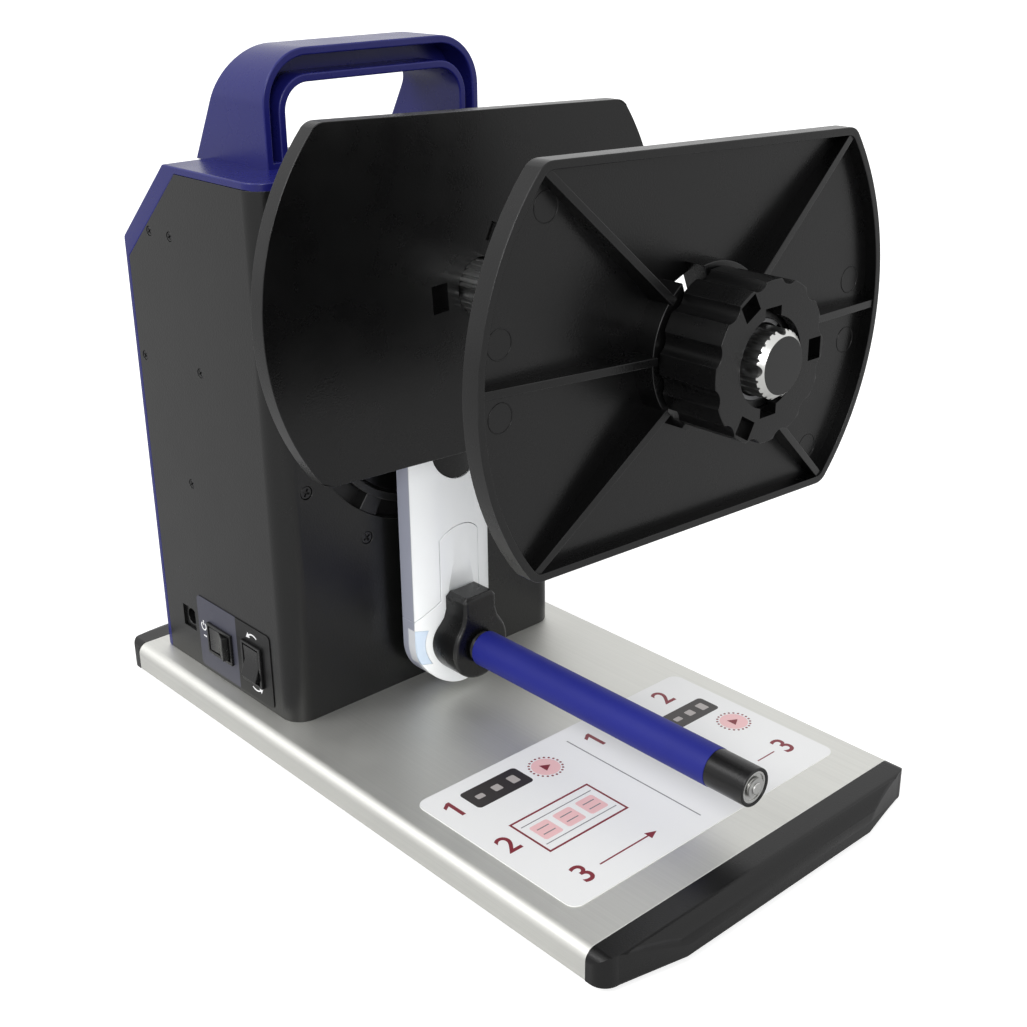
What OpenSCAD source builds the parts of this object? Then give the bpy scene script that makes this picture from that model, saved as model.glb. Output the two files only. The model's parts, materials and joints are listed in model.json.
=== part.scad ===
// Label rewinder: a motor tower on an aluminium base winds a label web onto a
// fluted spindle between two flanges. A sprung tension arm guides the web.
// X runs to the right, Y to the back, Z up. The origin is on the floor.

/* [Base] */
// Width of the aluminium base
base_w = 150.3; // [145:0.1:180]
// Length of the aluminium base without its end caps
base_l = 257.4; // [250:0.1:300]
// Thickness of the base
base_t = 10.7; // [10:0.1:14]
// Wall of the base extrusion
base_wall = 2; // [1.6:0.1:2.2]
// Radius of the long top edges
base_edge_r = 4; // [2:0.1:5]
// Width of the lips that hold the underside plate
lip_w = 8; // [5:0.5:12]
// Thickness of those lips
lip_t = 1.5; // [1:0.1:1.6]
// Thickness of the underside plate
underside_t = 1.2; // [0.8:0.1:1.4]
// Diameter of a rubber foot
foot_d = 16; // [12:0.5:20]
// Height that the feet lift the base
foot_h = 2; // [1.5:0.1:4]
// Depth of an end cap at its middle
cap_depth = 13.6; // [12:0.1:18]
// Depth of an end cap at its corners
cap_side_depth = 8; // [7:0.1:10]
// Width of the flat middle of an end cap
cap_flat_w = 91.4; // [80:0.1:100]
// Length of the tongue that plugs an end cap into the base
cap_tongue_l = 8; // [5:0.5:12]
// Width of the label on the base
label_w = 129; // [110:0.5:132]
// Length of the label on the base
label_l = 76; // [60:0.5:100]
// Distance of the label from the front edge of the base
label_inset = 15.2; // [10:0.1:20]
// Thickness of the label
label_t = 0.25; // [0.15:0.05:0.4]

/* [Tower] */
// Width of the tower
tower_w = 130; // [128:0.1:140]
// Depth of the tower
tower_d = 90.3; // [90:0.1:100]
// Height of the tower above the spindle axis
tower_head = 37.7; // [36:0.1:50]
// Distance of the tower's back from the rear edge of the base
tower_setback = 7.6; // [4:0.1:12]
// Wall of the tower housing
tower_wall = 2.5; // [2:0.1:3]
// Radius of the front vertical edges
tower_edge_r = 8.5; // [5:0.1:10]
// Height of the sloping shoulder at the back
shoulder_h = 29.4; // [25:0.1:32]
// Depth of the sloping shoulder at the back
shoulder_d = 32.9; // [30:0.1:35]
// Thickness of the rear cover's back
cover_back_t = 2.5; // [2:0.1:3]
// Thickness of the rear cover's shoulder
cover_shoulder_t = 7; // [5:0.1:8]
// Thickness of the rear cover's top
cover_top_t = 2.6; // [2:0.1:3.5]

/* [Handle] */
// Width of the carrying handle
handle_w = 92.8; // [85:0.1:110]
// Height of the handle above the tower
handle_h = 38; // [36:0.1:50]
// Thickness of a handle leg
handle_leg = 8.7; // [8:0.1:12]
// Thickness of the grip
handle_grip = 11.2; // [9:0.1:13]
// Outer corner radius of the handle
handle_r = 18; // [14:0.1:20]
// Distance of the handle from the tower's front
handle_inset = 20.5; // [18:0.1:24]
// Depth of a handle leg at its foot
handle_foot_d = 44.8; // [40:0.1:48]
// Depth of the handle at its top
handle_top_d = 22.6; // [18:0.1:30]
// Width of the rims beside the groove in the handle's front
handle_rim = 2.7; // [2:0.1:3]
// Depth of that groove
handle_groove = 12; // [8:0.5:15]

/* [Spindle] */
// Diameter of the fluted spindle
spindle_d = 20; // [19.4:0.1:20.6]
// Height of the spindle axis above the arm pivot
spindle_rise = 39.9; // [39:0.1:42]
// Reach of the spindle in front of the tower
spindle_reach = 159.8; // [158:0.1:175]
// Number of fine flutes between two keyways
flutes_per_side = 5; // [3:1:6]
// Diameter of the spindle journals
journal_d = 15; // [14:0.1:16]
// Outer diameter of the spindle bearings
bearing_od = 28; // [26:0.1:30]
// Width of the spindle bearings
bearing_w = 7; // [6:0.1:8]

/* [Flanges] */
// Diameter of a flange across its round sides
flange_d = 173.7; // [165:0.1:180]
// Height of a flange across its flat sides
flange_h = 114.9; // [100:0.1:125]
// Depth of a flange rim
flange_depth = 6.2; // [5:0.1:8]
// Thickness of a flange's skin
flange_skin = 2; // [1.5:0.1:3]
// Thickness of the rim and the ribs
flange_rim = 2.4; // [1.8:0.1:3]
// Corner radius of a flange
flange_corner_r = 6; // [4:0.1:9]
// Distance of the inner flange from the tower
flange_gap = 26.7; // [26:0.1:35]
// Space for the roll between the flanges
roll_space = 91.7; // [85:0.1:92]
// Angle that the flanges are turned by at rest
flange_turn = 2.2; // [0:0.1:5]
// Outer diameter of a flange hub
hub_d = 28.6; // [27.6:0.1:29]

/* [Lock knob] */
// Diameter of the lock knob
knob_d = 47; // [45:0.1:52]
// Length of the lock knob
knob_l = 20.5; // [18:0.1:22]
// Diameter of the hole in the knob's face
knob_hole_d = 26.6; // [25:0.1:27]
// Thickness of the knob's face
knob_face_t = 3; // [2:0.1:4]
// Number of grip scallops round the knob
knob_scallops = 12; // [9:3:18]

/* [Drive] */
// Teeth on the spindle gear
gear_teeth = 48; // [48:1:48]
// Teeth on the motor pinion
pinion_teeth = 16; // [16:1:16]
// Module of the gear pair
gear_module = 1; // [0.9:0.05:1]
// Face width of the gears
gear_w = 8; // [6:0.5:9]
// Diameter of the gear motor
motor_d = 34; // [30:0.5:35]
// Space behind the gear motor for its terminals
motor_gap = 5.6; // [5:0.1:12]

/* [Tension arm] */
// Height of the arm pivot above the base
pivot_h = 118.9; // [107:0.1:134]
// Height of the roller axis above the base
roller_h = 21.1; // [19:0.1:23]
// Width of the arm
arm_w = 36.6; // [36:0.1:38]
// Depth of the arm's sides
arm_side = 7.3; // [7:0.1:9]
// Height of the crown on the arm's face
arm_crown = 6.3; // [5.5:0.1:7]
// Clearance between the arm and the tower
arm_gap = 5.2; // [4:0.1:6]
// Wall of the arm covers
arm_wall = 2; // [1.6:0.1:2.4]
// Diameter of the pivot shaft
pivot_d = 12; // [10:0.1:13]
// Radius of the round recess in the tower's front
dish_r = 52.75; // [52:0.05:54]
// Angle from the arm to each stop
stop_angle = 27; // [24:0.5:32]
// Thickness of the roller bracket
bracket_t = 10.2; // [9:0.1:11]
// Radius of the round end of the bracket
bracket_r = 13; // [12.4:0.1:13.6]

/* [Roller] */
// Diameter of the roller sleeve
roller_d = 13.6; // [13.4:0.1:14.4]
// Length of the roller sleeve
sleeve_l = 112; // [95:0.1:116]
// Length of the roller's end cap
roller_cap_l = 15.8; // [14:0.1:18]
// Outer diameter of the roller tube
roller_tube_d = 12.2; // [12:0.1:12.6]
// Outer diameter of the roller bearings
roller_bearing_d = 11; // [10:0.1:11.2]
// Diameter of the roller axle
axle_d = 4; // [3.6:0.1:4.6]

/* [Controls] */
// Length of a rocker
rocker_l = 13; // [12:0.1:14]
// Width of a rocker
rocker_w = 9.6; // [8:0.1:10]
// Angle that a rocker turns through
rocker_throw = 20; // [14:1:22]
// Width of the panel round the switches
panel_w = 50.2; // [48:0.1:52]
// Height of the panel round the switches
panel_h = 30; // [26:0.1:32]
// Side of the square power inlet
inlet_side = 9; // [8.5:0.1:10]

/* [Hidden] */
$fn = 64;
cut = 1;              // length that a cutting shape runs past a face
fit = 0.3;            // clearance between pieces that slide or sit in each other
turn_fit = 0.1;       // radial clearance of a turning shaft
run = 0.6;            // clearance between a turning piece and its neighbour
small_screw_d = 3;    // shank of the machine screws
small_head_d = 5.5;   // head of the machine screws

base_z = foot_h;
base_top = base_z + base_t;
channel_half = base_w / 2 - base_wall;
plate_z = base_z + lip_t;

tower_back = base_l / 2 - tower_setback;
tower_front = tower_back - tower_d;
tower_h = pivot_h + spindle_rise + tower_head;
tower_top = base_top + tower_h;
wall_x = tower_w / 2;
inner_x = wall_x - tower_wall;
inner_front = tower_front + tower_wall;
inner_back = tower_back - cover_back_t;
shoulder_len = sqrt(shoulder_h * shoulder_h + shoulder_d * shoulder_d);
shoulder_z = tower_top - shoulder_h;
shoulder_y = tower_back - shoulder_d;
housing_top = tower_top - cover_top_t;
housing_shoulder_z = shoulder_z
    + (shoulder_h * cover_back_t - cover_shoulder_t * shoulder_len) / shoulder_d;
housing_shoulder_y = tower_back
    - (cover_shoulder_t * shoulder_len + shoulder_d * (shoulder_h - cover_top_t)) / shoulder_h;
full_profile = [
    [tower_front, base_top], [tower_back, base_top], [tower_back, shoulder_z],
    [shoulder_y, tower_top], [tower_front, tower_top]];
housing_profile = [
    [tower_front, base_top], [inner_back, base_top], [inner_back, housing_shoulder_z],
    [housing_shoulder_y, housing_top], [tower_front, housing_top]];

handle_front = tower_front + handle_inset;
handle_top = tower_top + handle_h;

spindle_z = base_top + pivot_h + spindle_rise;
spindle_front = tower_front - spindle_reach;
shoulder_gap = 2;
flute_end = tower_front - shoulder_gap;
shoulder_od = spindle_d - 2;
inner_face = tower_front - flange_gap - flange_depth;
outer_face = inner_face - roll_space;
hub_step = 3;
hub_step_d = 50;
knob_gap = 1;
hub_l = flange_depth + hub_step + knob_gap + knob_l - knob_face_t - knob_gap;
hub_bore_d = spindle_d + 2 * fit + 0.1;
collet_t = 1.3;
collet_bore_d = hub_d - 5;
collet_start = 6;
window_r = 18;
window_w = 9.5;
window_depth = 6.6;
knob_back = outer_face - flange_depth - hub_step - knob_gap;
knob_front = knob_back - knob_l;

pivot_z = base_top + pivot_h;
dish_ring_r = dish_r - 6.45;
dish_ring_w = 2.8;
disc_r = dish_ring_r - dish_ring_w - 1;
disc_front = inner_front - fit;
disc_t = 2.5;
floor_front = disc_front + disc_t + 0.5;
floor_t = 3;
floor_back = floor_front + floor_t;
channel_floor = floor_front + 0.8;
plate_screw_r = dish_r + 8.55;
plate_screw_angles = [29, 62];
plate_flange_r = plate_screw_r + 4.7;
plate_flange_half = inner_x - (tower_edge_r - tower_wall) - fit;
bearing_front = floor_front + 2;
boss_back = bearing_front + bearing_w + 1;
gear_front = floor_back + 19;
chassis_front = gear_front + gear_w + 4;
chassis_t = 3;
chassis_back = chassis_front + chassis_t;
chassis_half = 50;
rear_bearing_front = chassis_front + (chassis_t - bearing_w) / 2;
spindle_back = rear_bearing_front + bearing_w + 3;
clip_t = 1.2;
clip_y = spindle_back - clip_t - 1;
clip_groove_d = journal_d - 1.4;
spacer_x = 40;
spacer_dz = 26;
spacer_d = 8;

gear_backlash = 0.12;
gear_distance = gear_module * (gear_teeth + pinion_teeth) / 2 + 0.05;
motor_angle = -50;
motor_x = gear_distance * cos(motor_angle);
motor_z = spindle_z + gear_distance * sin(motor_angle);
motor_shaft_d = 6;
motor_boss_d = 12;
motor_l = inner_back - motor_gap - chassis_back;

arm_back = tower_front - arm_gap;
arm_edge = arm_back - arm_side;
arm_front = arm_edge - arm_crown;
crown_r = (arm_w * arm_w / 4 + arm_crown * arm_crown) / (2 * arm_crown);
crown_y = arm_front + crown_r;
roller_z = base_top + roller_h;
arm_drop = 1.5;
arm_top_z = pivot_z - arm_drop;
lever_t = 4.5;
lever_front = arm_back - lever_t;
arm_cap_r = 10.5;
arm_cap_drop = 22.3;
arm_cap_z = pivot_z - arm_cap_drop;
seam = 0.3;
tongue_half = 9.4;
tongue_rise = 46.6;
tongue_top = roller_z + tongue_rise;
tongue_r = 11.4;
seam_side_rise = 9.2;
seam_elbow_rise = 17.7;
seam_side_z = roller_z + seam_side_rise;
seam_elbow_z = roller_z + seam_elbow_rise;
lens_h = 14.2;
lens_drop = 8;
lens_margin = 2.1;
lens_ring_r = bracket_r + lens_margin;
lens_wrap = 4.2;
window_low = roller_z - lens_drop;
window_high = window_low + lens_h;
window_back = arm_edge + lens_wrap;
bracket_back = arm_front - fit;
bracket_front = bracket_back - bracket_t;
bracket_rise = 21.2;
bracket_top = roller_z + bracket_rise;
bracket_skin = 3.2;
bracket_screw_l = bracket_t - bracket_skin;
neck_half = 7.6;
collar_l = 1.4;
collar_front = bracket_front - collar_l;
pedestal_r = 9;
bush_t = 3;
bush_l = 14;
spring_l = 7;
spring_t = 2.5;
flag_y = floor_front + bush_l + spring_l + 1;
flag_hub_l = 4;
flag_r = 30;
flag_t = 1;
pivot_end = flag_y + flag_hub_l + 2.5;
stop_pin_d = 4;
stop_r = (dish_r + dish_ring_r) / 2;
stop_span = 9;

roller_back = collar_front - run;
sleeve_front = roller_back - sleeve_l;
roller_front = sleeve_front - roller_cap_l;
tube_end = sleeve_front - roller_cap_l / 2;
roller_bearing_w = 4;
axle_front = roller_front - 1;

panel_t = 0.4;
panel_y = tower_front + 13.5 + panel_w / 2;
panel_z = base_top + 1.8 + panel_h / 2;
direction_y = panel_y - 13.1;
power_y = panel_y + 9.1;
switch_z = panel_z - 0.3;
switch_depth = 14;
bezel_t = 1.2;
rocker_pivot = 1;
rocker_pin_d = 2.4;
body_l = rocker_l + 2.6;
body_w = rocker_w + 2.2;
bezel_l = rocker_l + 3.6;
bezel_w = rocker_w + 3.2;
pocket_l = rocker_l + 1.8;
pocket_w = rocker_w + 0.8;
inlet_y = tower_back - 19.1;
inlet_z = base_top + 19;
inlet_depth = 14;
inlet_bore_d = 6.4;
inlet_pin_d = 2.1;

board_x = 1;
board_w = 70;
board_front = inner_front + 18;
board_back = inner_back - 1.3;
board_h = 8;
board_t = 1.6;
board_z = base_top + tower_wall + board_h;
board_top = board_z + board_t;
standoff_inset = 5;
standoff_left = 12;
header_x = board_x - board_w / 2 + 4;
header_w = 6;
header_h = 9;
motor_header_h = 6;
lead_d = 1.8;
lead_pitch = 5.08;
motor_blade_l = 3;
motor_lead_y = chassis_back + motor_l + motor_blade_l / 2;
terminal_l = 5;
motor_terminal_z = motor_z - 11;

base_screw_x = wall_x - 13;
base_screw_y = [tower_front + 12, tower_back - 14];
base_screw_d = 4;
base_screw_l = 12;
shoulder_screw_in = 19.3;
shoulder_screw_pitch = 13.8;
shoulder_screw_rise = 4.5;
cover_screw_in = 6.4;
cover_screw_rise = 4.4;
middle_screw_in = 31.4;
middle_screw_rise = 78.9;
chassis_screw_in = 2.7;
chassis_screw_rise = 6;
side_screws_at = [
    [tower_back - shoulder_screw_in, shoulder_z + shoulder_screw_rise],
    [tower_back - shoulder_screw_in - shoulder_screw_pitch, shoulder_z + shoulder_screw_rise],
    [tower_back - cover_screw_in, pivot_z + cover_screw_rise],
    [chassis_back + chassis_screw_in, pivot_z + chassis_screw_rise],
    [tower_back - middle_screw_in, base_top + middle_screw_rise]];
tab_t = 4;
plate_screw_head_d = 5;
plate_screw_head_h = 1.4;
plate_screw_d = small_screw_d;
plate_screw_sink = 0.3;
side_screw_head_d = 3.6;
side_screw_head_h = 1;
side_screw_d = 2.4;
side_screw_sink = 0.2;

// Shared shapes

// A flat shape drawn in X and Z, made solid from y along +Y
module along_y(y, l) {
    translate([0, y + l, 0])
        rotate([90, 0, 0])
            linear_extrude(l)
                children();
}

// A flat shape drawn in Y and Z, made solid from x along +X
module along_x(x, l) {
    translate([x, 0, 0])
        rotate([90, 0, 90])
            linear_extrude(l)
                children();
}

// A round bar along +Y
module bar(d, y, l, x = 0, z = 0) {
    translate([x, y, z])
        rotate([-90, 0, 0])
            cylinder(d = d, h = l);
}

// A ring whose axis lies along Y
module ring(d_out, d_in, y, l, x = 0, z = 0) {
    difference() {
        bar(d_out, y, l, x, z);
        bar(d_in, y - cut, l + 2 * cut, x, z);
    }
}

// A block between two corners
module block(a, b) {
    translate(a)
        cube(b - a);
}

// A rectangle with round corners, centred
module round_rect(w, h, r) {
    square([w, h - 2 * r], center = true);
    square([w - 2 * r, h], center = true);
    for (sx = [-1, 1], sy = [-1, 1])
        translate([sx * (w / 2 - r), sy * (h / 2 - r)])
            circle(r);
}

// A slice of a disc that opens downwards from a centre, as an outline
module wedge(r, from_angle, to_angle) {
    polygon(concat([[0, 0]], [
        for (i = [0 : 4])
            let (a = from_angle + (to_angle - from_angle) * i / 4)
                [r * sin(a), -r * cos(a)]]));
}

// Puts a shape on the tower's left wall, its Z outwards and its X up
module on_left_wall(y, z, turn = 0) {
    translate([-wall_x, y, z])
        rotate([0, -90, 0])
            rotate([0, 0, turn])
                children();
}

// A ball bearing as one ring with recessed shields
module ball_bearing(od, id, w) {
    shield = 0.4;
    race = (od - id) / 8;
    rotate_extrude()
        difference() {
            translate([id / 2, 0])
                square([(od - id) / 2, w]);
            for (y = [-cut, w - shield])
                translate([id / 2 + race, y])
                    square([(od - id) / 2 - 2 * race, shield + cut]);
        }
}

// Involute gear outline
function involute(base_r, r) = r <= base_r ? 0 : tan(acos(base_r / r)) * 180 / PI - acos(base_r / r);

module gear_outline(teeth) {
    pitch_r = gear_module * teeth / 2;
    base_r = pitch_r * cos(20);
    root_r = pitch_r - 1.1 * gear_module;
    tip_r = pitch_r + 0.8 * gear_module;
    half = 90 / teeth - gear_backlash / pitch_r * 180 / PI + involute(base_r, pitch_r);
    steps = 2;
    start_r = max(base_r, root_r);
    radii = [for (i = [0 : steps]) start_r + (tip_r - start_r) * i / steps];
    polygon([
        for (t = [0 : teeth - 1])
            let (mid = 360 * t / teeth)
                each concat(
                    [root_r * [cos(mid - half), sin(mid - half)]],
                    [for (r = radii) let (a = mid - half + involute(base_r, r)) r * [cos(a), sin(a)]],
                    [for (i = [steps : -1 : 0])
                        let (r = radii[i], a = mid + half - involute(base_r, r)) r * [cos(a), sin(a)]],
                    [root_r * [cos(mid + half), sin(mid + half)]])]);
}

// Base

module base_outline(inset = 0) {
    w = base_w - 2 * inset;
    r = max(base_edge_r - inset, 0.1);
    top = base_top - inset;
    translate([-w / 2, base_z])
        square([w, top - r - base_z]);
    translate([-w / 2 + r, base_z])
        square([w - 2 * r, top - base_z]);
    for (s = [-1, 1])
        translate([s * (w / 2 - r), top - r])
            circle(r);
}

module channel_outline(gap = 0) {
    intersection() {
        base_outline(base_wall + gap);
        translate([-base_w / 2, plate_z])
            square([base_w, base_t]);
    }
}

module base_plate() {
    slot_half = channel_half - lip_w;
    color("lightgray")
        difference() {
            along_y(-base_l / 2, base_l)
                difference() {
                    base_outline();
                    channel_outline();
                    translate([-slot_half, base_z - cut])
                        square([2 * slot_half, lip_t + 2 * cut]);
                }
            for (s = [-1, 1], y = base_screw_y)
                translate([s * base_screw_x, y, base_top - base_wall - cut])
                    cylinder(d = base_screw_d, h = base_wall + 2 * cut);
        }
}

module underside_plate() {
    half = channel_half - fit;
    color("dimgray")
        block([-half, -base_l / 2, plate_z], [half, base_l / 2, plate_z + underside_t]);
}

module end_cap() {
    corner_r = 6;
    nose_r = 6.4;
    corner_y = cap_side_depth - corner_r;
    difference() {
        intersection() {
            linear_extrude(base_top)
                union() {
                    polygon([
                        [-base_w / 2, 0], [base_w / 2, 0], [base_w / 2, -corner_y],
                        [base_w / 2 - corner_r, -cap_side_depth], [cap_flat_w / 2, -cap_depth],
                        [-cap_flat_w / 2, -cap_depth], [-base_w / 2 + corner_r, -cap_side_depth],
                        [-base_w / 2, -corner_y]]);
                    for (s = [-1, 1])
                        translate([s * (base_w / 2 - corner_r), -corner_y])
                            circle(corner_r);
                }
            along_x(-base_w, 2 * base_w)
                union() {
                    translate([-cap_depth, base_z])
                        square([cap_depth + cut, base_t - nose_r]);
                    translate([-cap_depth + nose_r, base_z])
                        square([cap_depth - nose_r + cut, base_t]);
                    translate([-cap_depth + nose_r, base_top - nose_r])
                        circle(nose_r);
                }
            along_y(-base_w, 2 * base_w)
                base_outline();
        }
        block([-base_w, 0, 0], [base_w, cut, base_top + cut]);
    }
    intersection() {
        along_y(0, cap_tongue_l)
            channel_outline(fit);
        block([-base_w, -cut, plate_z + underside_t + fit], [base_w, cap_tongue_l, base_top]);
    }
}

module front_end_cap() {
    color("#2a2a2b")
        translate([0, -base_l / 2, 0])
            end_cap();
}

module rear_end_cap() {
    color("#2a2a2b")
        translate([0, base_l / 2, 0])
            rotate([0, 0, 180])
                end_cap();
}

module rubber_feet() {
    x = channel_half - lip_w - foot_d / 2 - 2;
    y = base_l / 2 - foot_d / 2 - 12;
    color("#1c1c1c")
        for (sx = [-1, 1], sy = [-1, 1])
            translate([sx * x, sy * y, 0])
                cylinder(d = foot_d, h = plate_z);
}

module instruction_label() {
    corner_r = 4;
    color("white")
        translate([0, -base_l / 2 + label_inset + label_l / 2, base_top])
            linear_extrude(label_t)
                round_rect(label_w, label_l, corner_r);
}

module base_screws() {
    head_d = 8;
    head_h = 2.5;
    under = base_top - base_wall;
    color("silver")
        for (s = [-1, 1], y = base_screw_y)
            translate([s * base_screw_x, y, under]) {
                cylinder(d = base_screw_d, h = base_wall + base_screw_l);
                translate([0, 0, -head_h])
                    cylinder(d = head_d, h = head_h);
            }
}

// Tower

module tower_plan(inset, back) {
    half = wall_x - inset;
    front = tower_front + inset;
    r = max(tower_edge_r - inset, 0.5);
    translate([-half, front + r])
        square([2 * half, back - front - r]);
    translate([-half + r, front])
        square([2 * half - 2 * r, r + cut]);
    for (s = [-1, 1])
        translate([s * (half - r), front + r])
            circle(r);
}

module tower_block(profile) {
    intersection() {
        linear_extrude(tower_top + cut)
            tower_plan(0, tower_back);
        along_x(-wall_x, tower_w)
            polygon(profile);
    }
}

module plate_screw_places() {
    for (sx = [-1, 1], sz = [-1, 1], a = plate_screw_angles)
        translate([sx * plate_screw_r * cos(a), 0, pivot_z + sz * plate_screw_r * sin(a)])
            children();
}

module side_screw_places() {
    for (s = [-1, 1], p = side_screws_at)
        translate([s * wall_x, p[0], p[1]])
            rotate([0, -s * 90, 0])
                children();
}

module tower_housing() {
    boss_d = 9;
    color("#333434")
        difference() {
            union() {
                difference() {
                    tower_block(housing_profile);
                    translate([0, 0, base_top + tower_wall])
                        linear_extrude(tower_h)
                            tower_plan(tower_wall, tower_back + cut);
                }
                for (s = [-1, 1], y = base_screw_y)
                    translate([s * base_screw_x, y, base_top])
                        cylinder(d = boss_d, h = base_screw_l + tower_wall);
            }
            bar(2 * dish_r, tower_front - cut, tower_wall + 2 * cut, 0, pivot_z);
            for (s = [-1, 1], y = base_screw_y)
                translate([s * base_screw_x, y, base_top - cut])
                    cylinder(d = base_screw_d, h = base_screw_l + cut);
            plate_screw_places() {
                bar(plate_screw_d, tower_front - cut, tower_wall + 2 * cut);
                bar(plate_screw_head_d, tower_front - cut, cut + plate_screw_sink + plate_screw_head_h);
            }
            side_screw_places() {
                translate([0, 0, -cut])
                    cylinder(d = side_screw_d, h = tower_wall + 2 * cut);
                translate([0, 0, -cut])
                    cylinder(d = side_screw_head_d, h = cut + side_screw_sink + side_screw_head_h);
            }
            for (p = [[power_y, 90], [direction_y, 0]])
                on_left_wall(p[0], switch_z, p[1])
                    switch_hole();
            on_left_wall(inlet_y, inlet_z)
                translate([-inlet_side / 2, -inlet_side / 2, -tower_wall - cut])
                    cube([inlet_side, inlet_side, tower_wall + 2 * cut]);
        }
}

module handle_front_shape(inset_out, inset_in) {
    outer_half = handle_w / 2 - inset_out;
    outer_top = handle_top - inset_out;
    outer_r = handle_r - inset_out;
    inner_half = handle_w / 2 - handle_leg + inset_in;
    inner_top = handle_top - handle_grip + inset_in;
    inner_r = handle_r - handle_leg + inset_in;
    low = tower_top - cover_top_t / 2;
    difference() {
        union() {
            translate([-outer_half, low])
                square([2 * outer_half, outer_top - outer_r - low]);
            translate([-outer_half + outer_r, low])
                square([2 * outer_half - 2 * outer_r, outer_top - low]);
            for (s = [-1, 1])
                translate([s * (outer_half - outer_r), outer_top - outer_r])
                    circle(outer_r);
        }
        translate([-inner_half, low - cut])
            square([2 * inner_half, inner_top - inner_r - low + cut]);
        translate([-inner_half + inner_r, low - cut])
            square([2 * inner_half - 2 * inner_r, inner_top - low + cut]);
        for (s = [-1, 1])
            translate([s * (inner_half - inner_r), inner_top - inner_r])
                circle(inner_r);
    }
}

module handle() {
    low = tower_top - cover_top_t;
    slope = (handle_foot_d - handle_top_d) / handle_h;
    low_d = handle_foot_d + slope * cover_top_t;
    difference() {
        intersection() {
            along_y(handle_front, low_d)
                handle_front_shape(0, 0);
            along_x(-handle_w, 2 * handle_w)
                polygon([
                    [handle_front, low], [handle_front + low_d, low],
                    [handle_front + handle_top_d, handle_top], [handle_front, handle_top]]);
        }
        difference() {
            along_y(handle_front - cut, handle_groove + cut)
                handle_front_shape(handle_rim, handle_rim);
            block([-handle_w, handle_front - 2 * cut, 0], [handle_w, tower_back, tower_top + 2]);
        }
    }
}

module cover_tab(y0, y1, z0, z1) {
    intersection() {
        for (s = [-1, 1])
            block([s > 0 ? inner_x - tab_t : -inner_x, y0, z0],
                [s > 0 ? inner_x : -inner_x + tab_t, y1, z1]);
        along_x(-wall_x, tower_w)
            polygon(full_profile);
    }
}

module rear_cover() {
    reach = 5;
    color("#262a72")
        difference() {
            union() {
                difference() {
                    tower_block(full_profile);
                    along_x(-wall_x - cut, tower_w + 2 * cut)
                        polygon(concat(
                            [[tower_front - cut, base_top - cut], [inner_back, base_top - cut]],
                            [for (i = [2 : 3]) housing_profile[i]],
                            [[tower_front - cut, housing_top]]));
                }
                handle();
                cover_tab(side_screws_at[1][0] - reach, side_screws_at[0][0] + reach,
                    side_screws_at[0][1] - reach, tower_top);
                for (i = [2, 4])
                    cover_tab(side_screws_at[i][0] - reach, tower_back,
                        side_screws_at[i][1] - reach, side_screws_at[i][1] + reach);
            }
            side_screw_places()
                cylinder(d = side_screw_d, h = tower_wall + tab_t + cut);
        }
}

module side_screws() {
    shank_l = tower_wall + tab_t / 2 - side_screw_sink;
    color("#1a1a1a")
        side_screw_places()
            translate([0, 0, side_screw_sink]) {
                cylinder(d = side_screw_d, h = shank_l);
                cylinder(d = side_screw_head_d, h = side_screw_head_h);
            }
}

// Controls

module switch_hole() {
    translate([-body_l / 2, -body_w / 2, -tower_wall - cut])
        cube([body_l, body_w, tower_wall + panel_t + 2 * cut]);
}

module switch_panel() {
    corner_r = 2;
    color("#4a4a55")
        difference() {
            on_left_wall(panel_y, panel_z)
                linear_extrude(panel_t)
                    round_rect(panel_h, panel_w, corner_r);
            for (p = [[power_y, 90], [direction_y, 0]])
                on_left_wall(p[0], switch_z, p[1])
                    switch_hole();
        }
}

// Housing of a rocker switch: a bezel, a pocket for the rocker and two blades
module switch_body() {
    pocket_depth = 8;
    blade = [0.8, 4, terminal_l];
    difference() {
        union() {
            translate([-body_l / 2, -body_w / 2, -switch_depth])
                cube([body_l, body_w, switch_depth + panel_t]);
            translate([-bezel_l / 2, -bezel_w / 2, panel_t])
                cube([bezel_l, bezel_w, bezel_t]);
        }
        translate([-pocket_l / 2, -pocket_w / 2, -pocket_depth])
            cube([pocket_l, pocket_w, pocket_depth + panel_t + bezel_t + cut]);
        translate([0, 0, -rocker_pivot])
            rotate([90, 0, 0])
                cylinder(d = rocker_pin_d + 2 * fit, h = body_w + 2 * cut, center = true);
    }
    for (s = [-1, 1])
        translate([s * lead_pitch / 2 - blade[0] / 2, -blade[1] / 2, -switch_depth - terminal_l])
            cube(blade);
}

// A rocker with a dished face, tipped to one side about its pin
module rocker() {
    end = rocker_l / 2;
    translate([0, 0, -rocker_pivot])
        rotate([0, rocker_throw / 2, 0]) {
            translate([0, rocker_w / 2, 0])
                rotate([90, 0, 0])
                    linear_extrude(rocker_w)
                        polygon([
                            [-end, -2.5], [-end + 0.3, 3.6], [0, 2.3], [end - 0.3, 3.6],
                            [end, -2.5], [0, -4]]);
            rotate([90, 0, 0])
                cylinder(d = rocker_pin_d, h = body_w - fit, center = true);
        }
}

module power_switch_body() {
    color("#1e1e20")
        on_left_wall(power_y, switch_z, 90)
            switch_body();
}

module power_rocker() {
    color("#2b2c2e")
        on_left_wall(power_y, switch_z, 90)
            rocker();
}

module direction_switch_body() {
    color("#1e1e20")
        on_left_wall(direction_y, switch_z)
            switch_body();
}

module direction_rocker() {
    color("#2b2c2e")
        on_left_wall(direction_y, switch_z)
            rocker();
}

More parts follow.
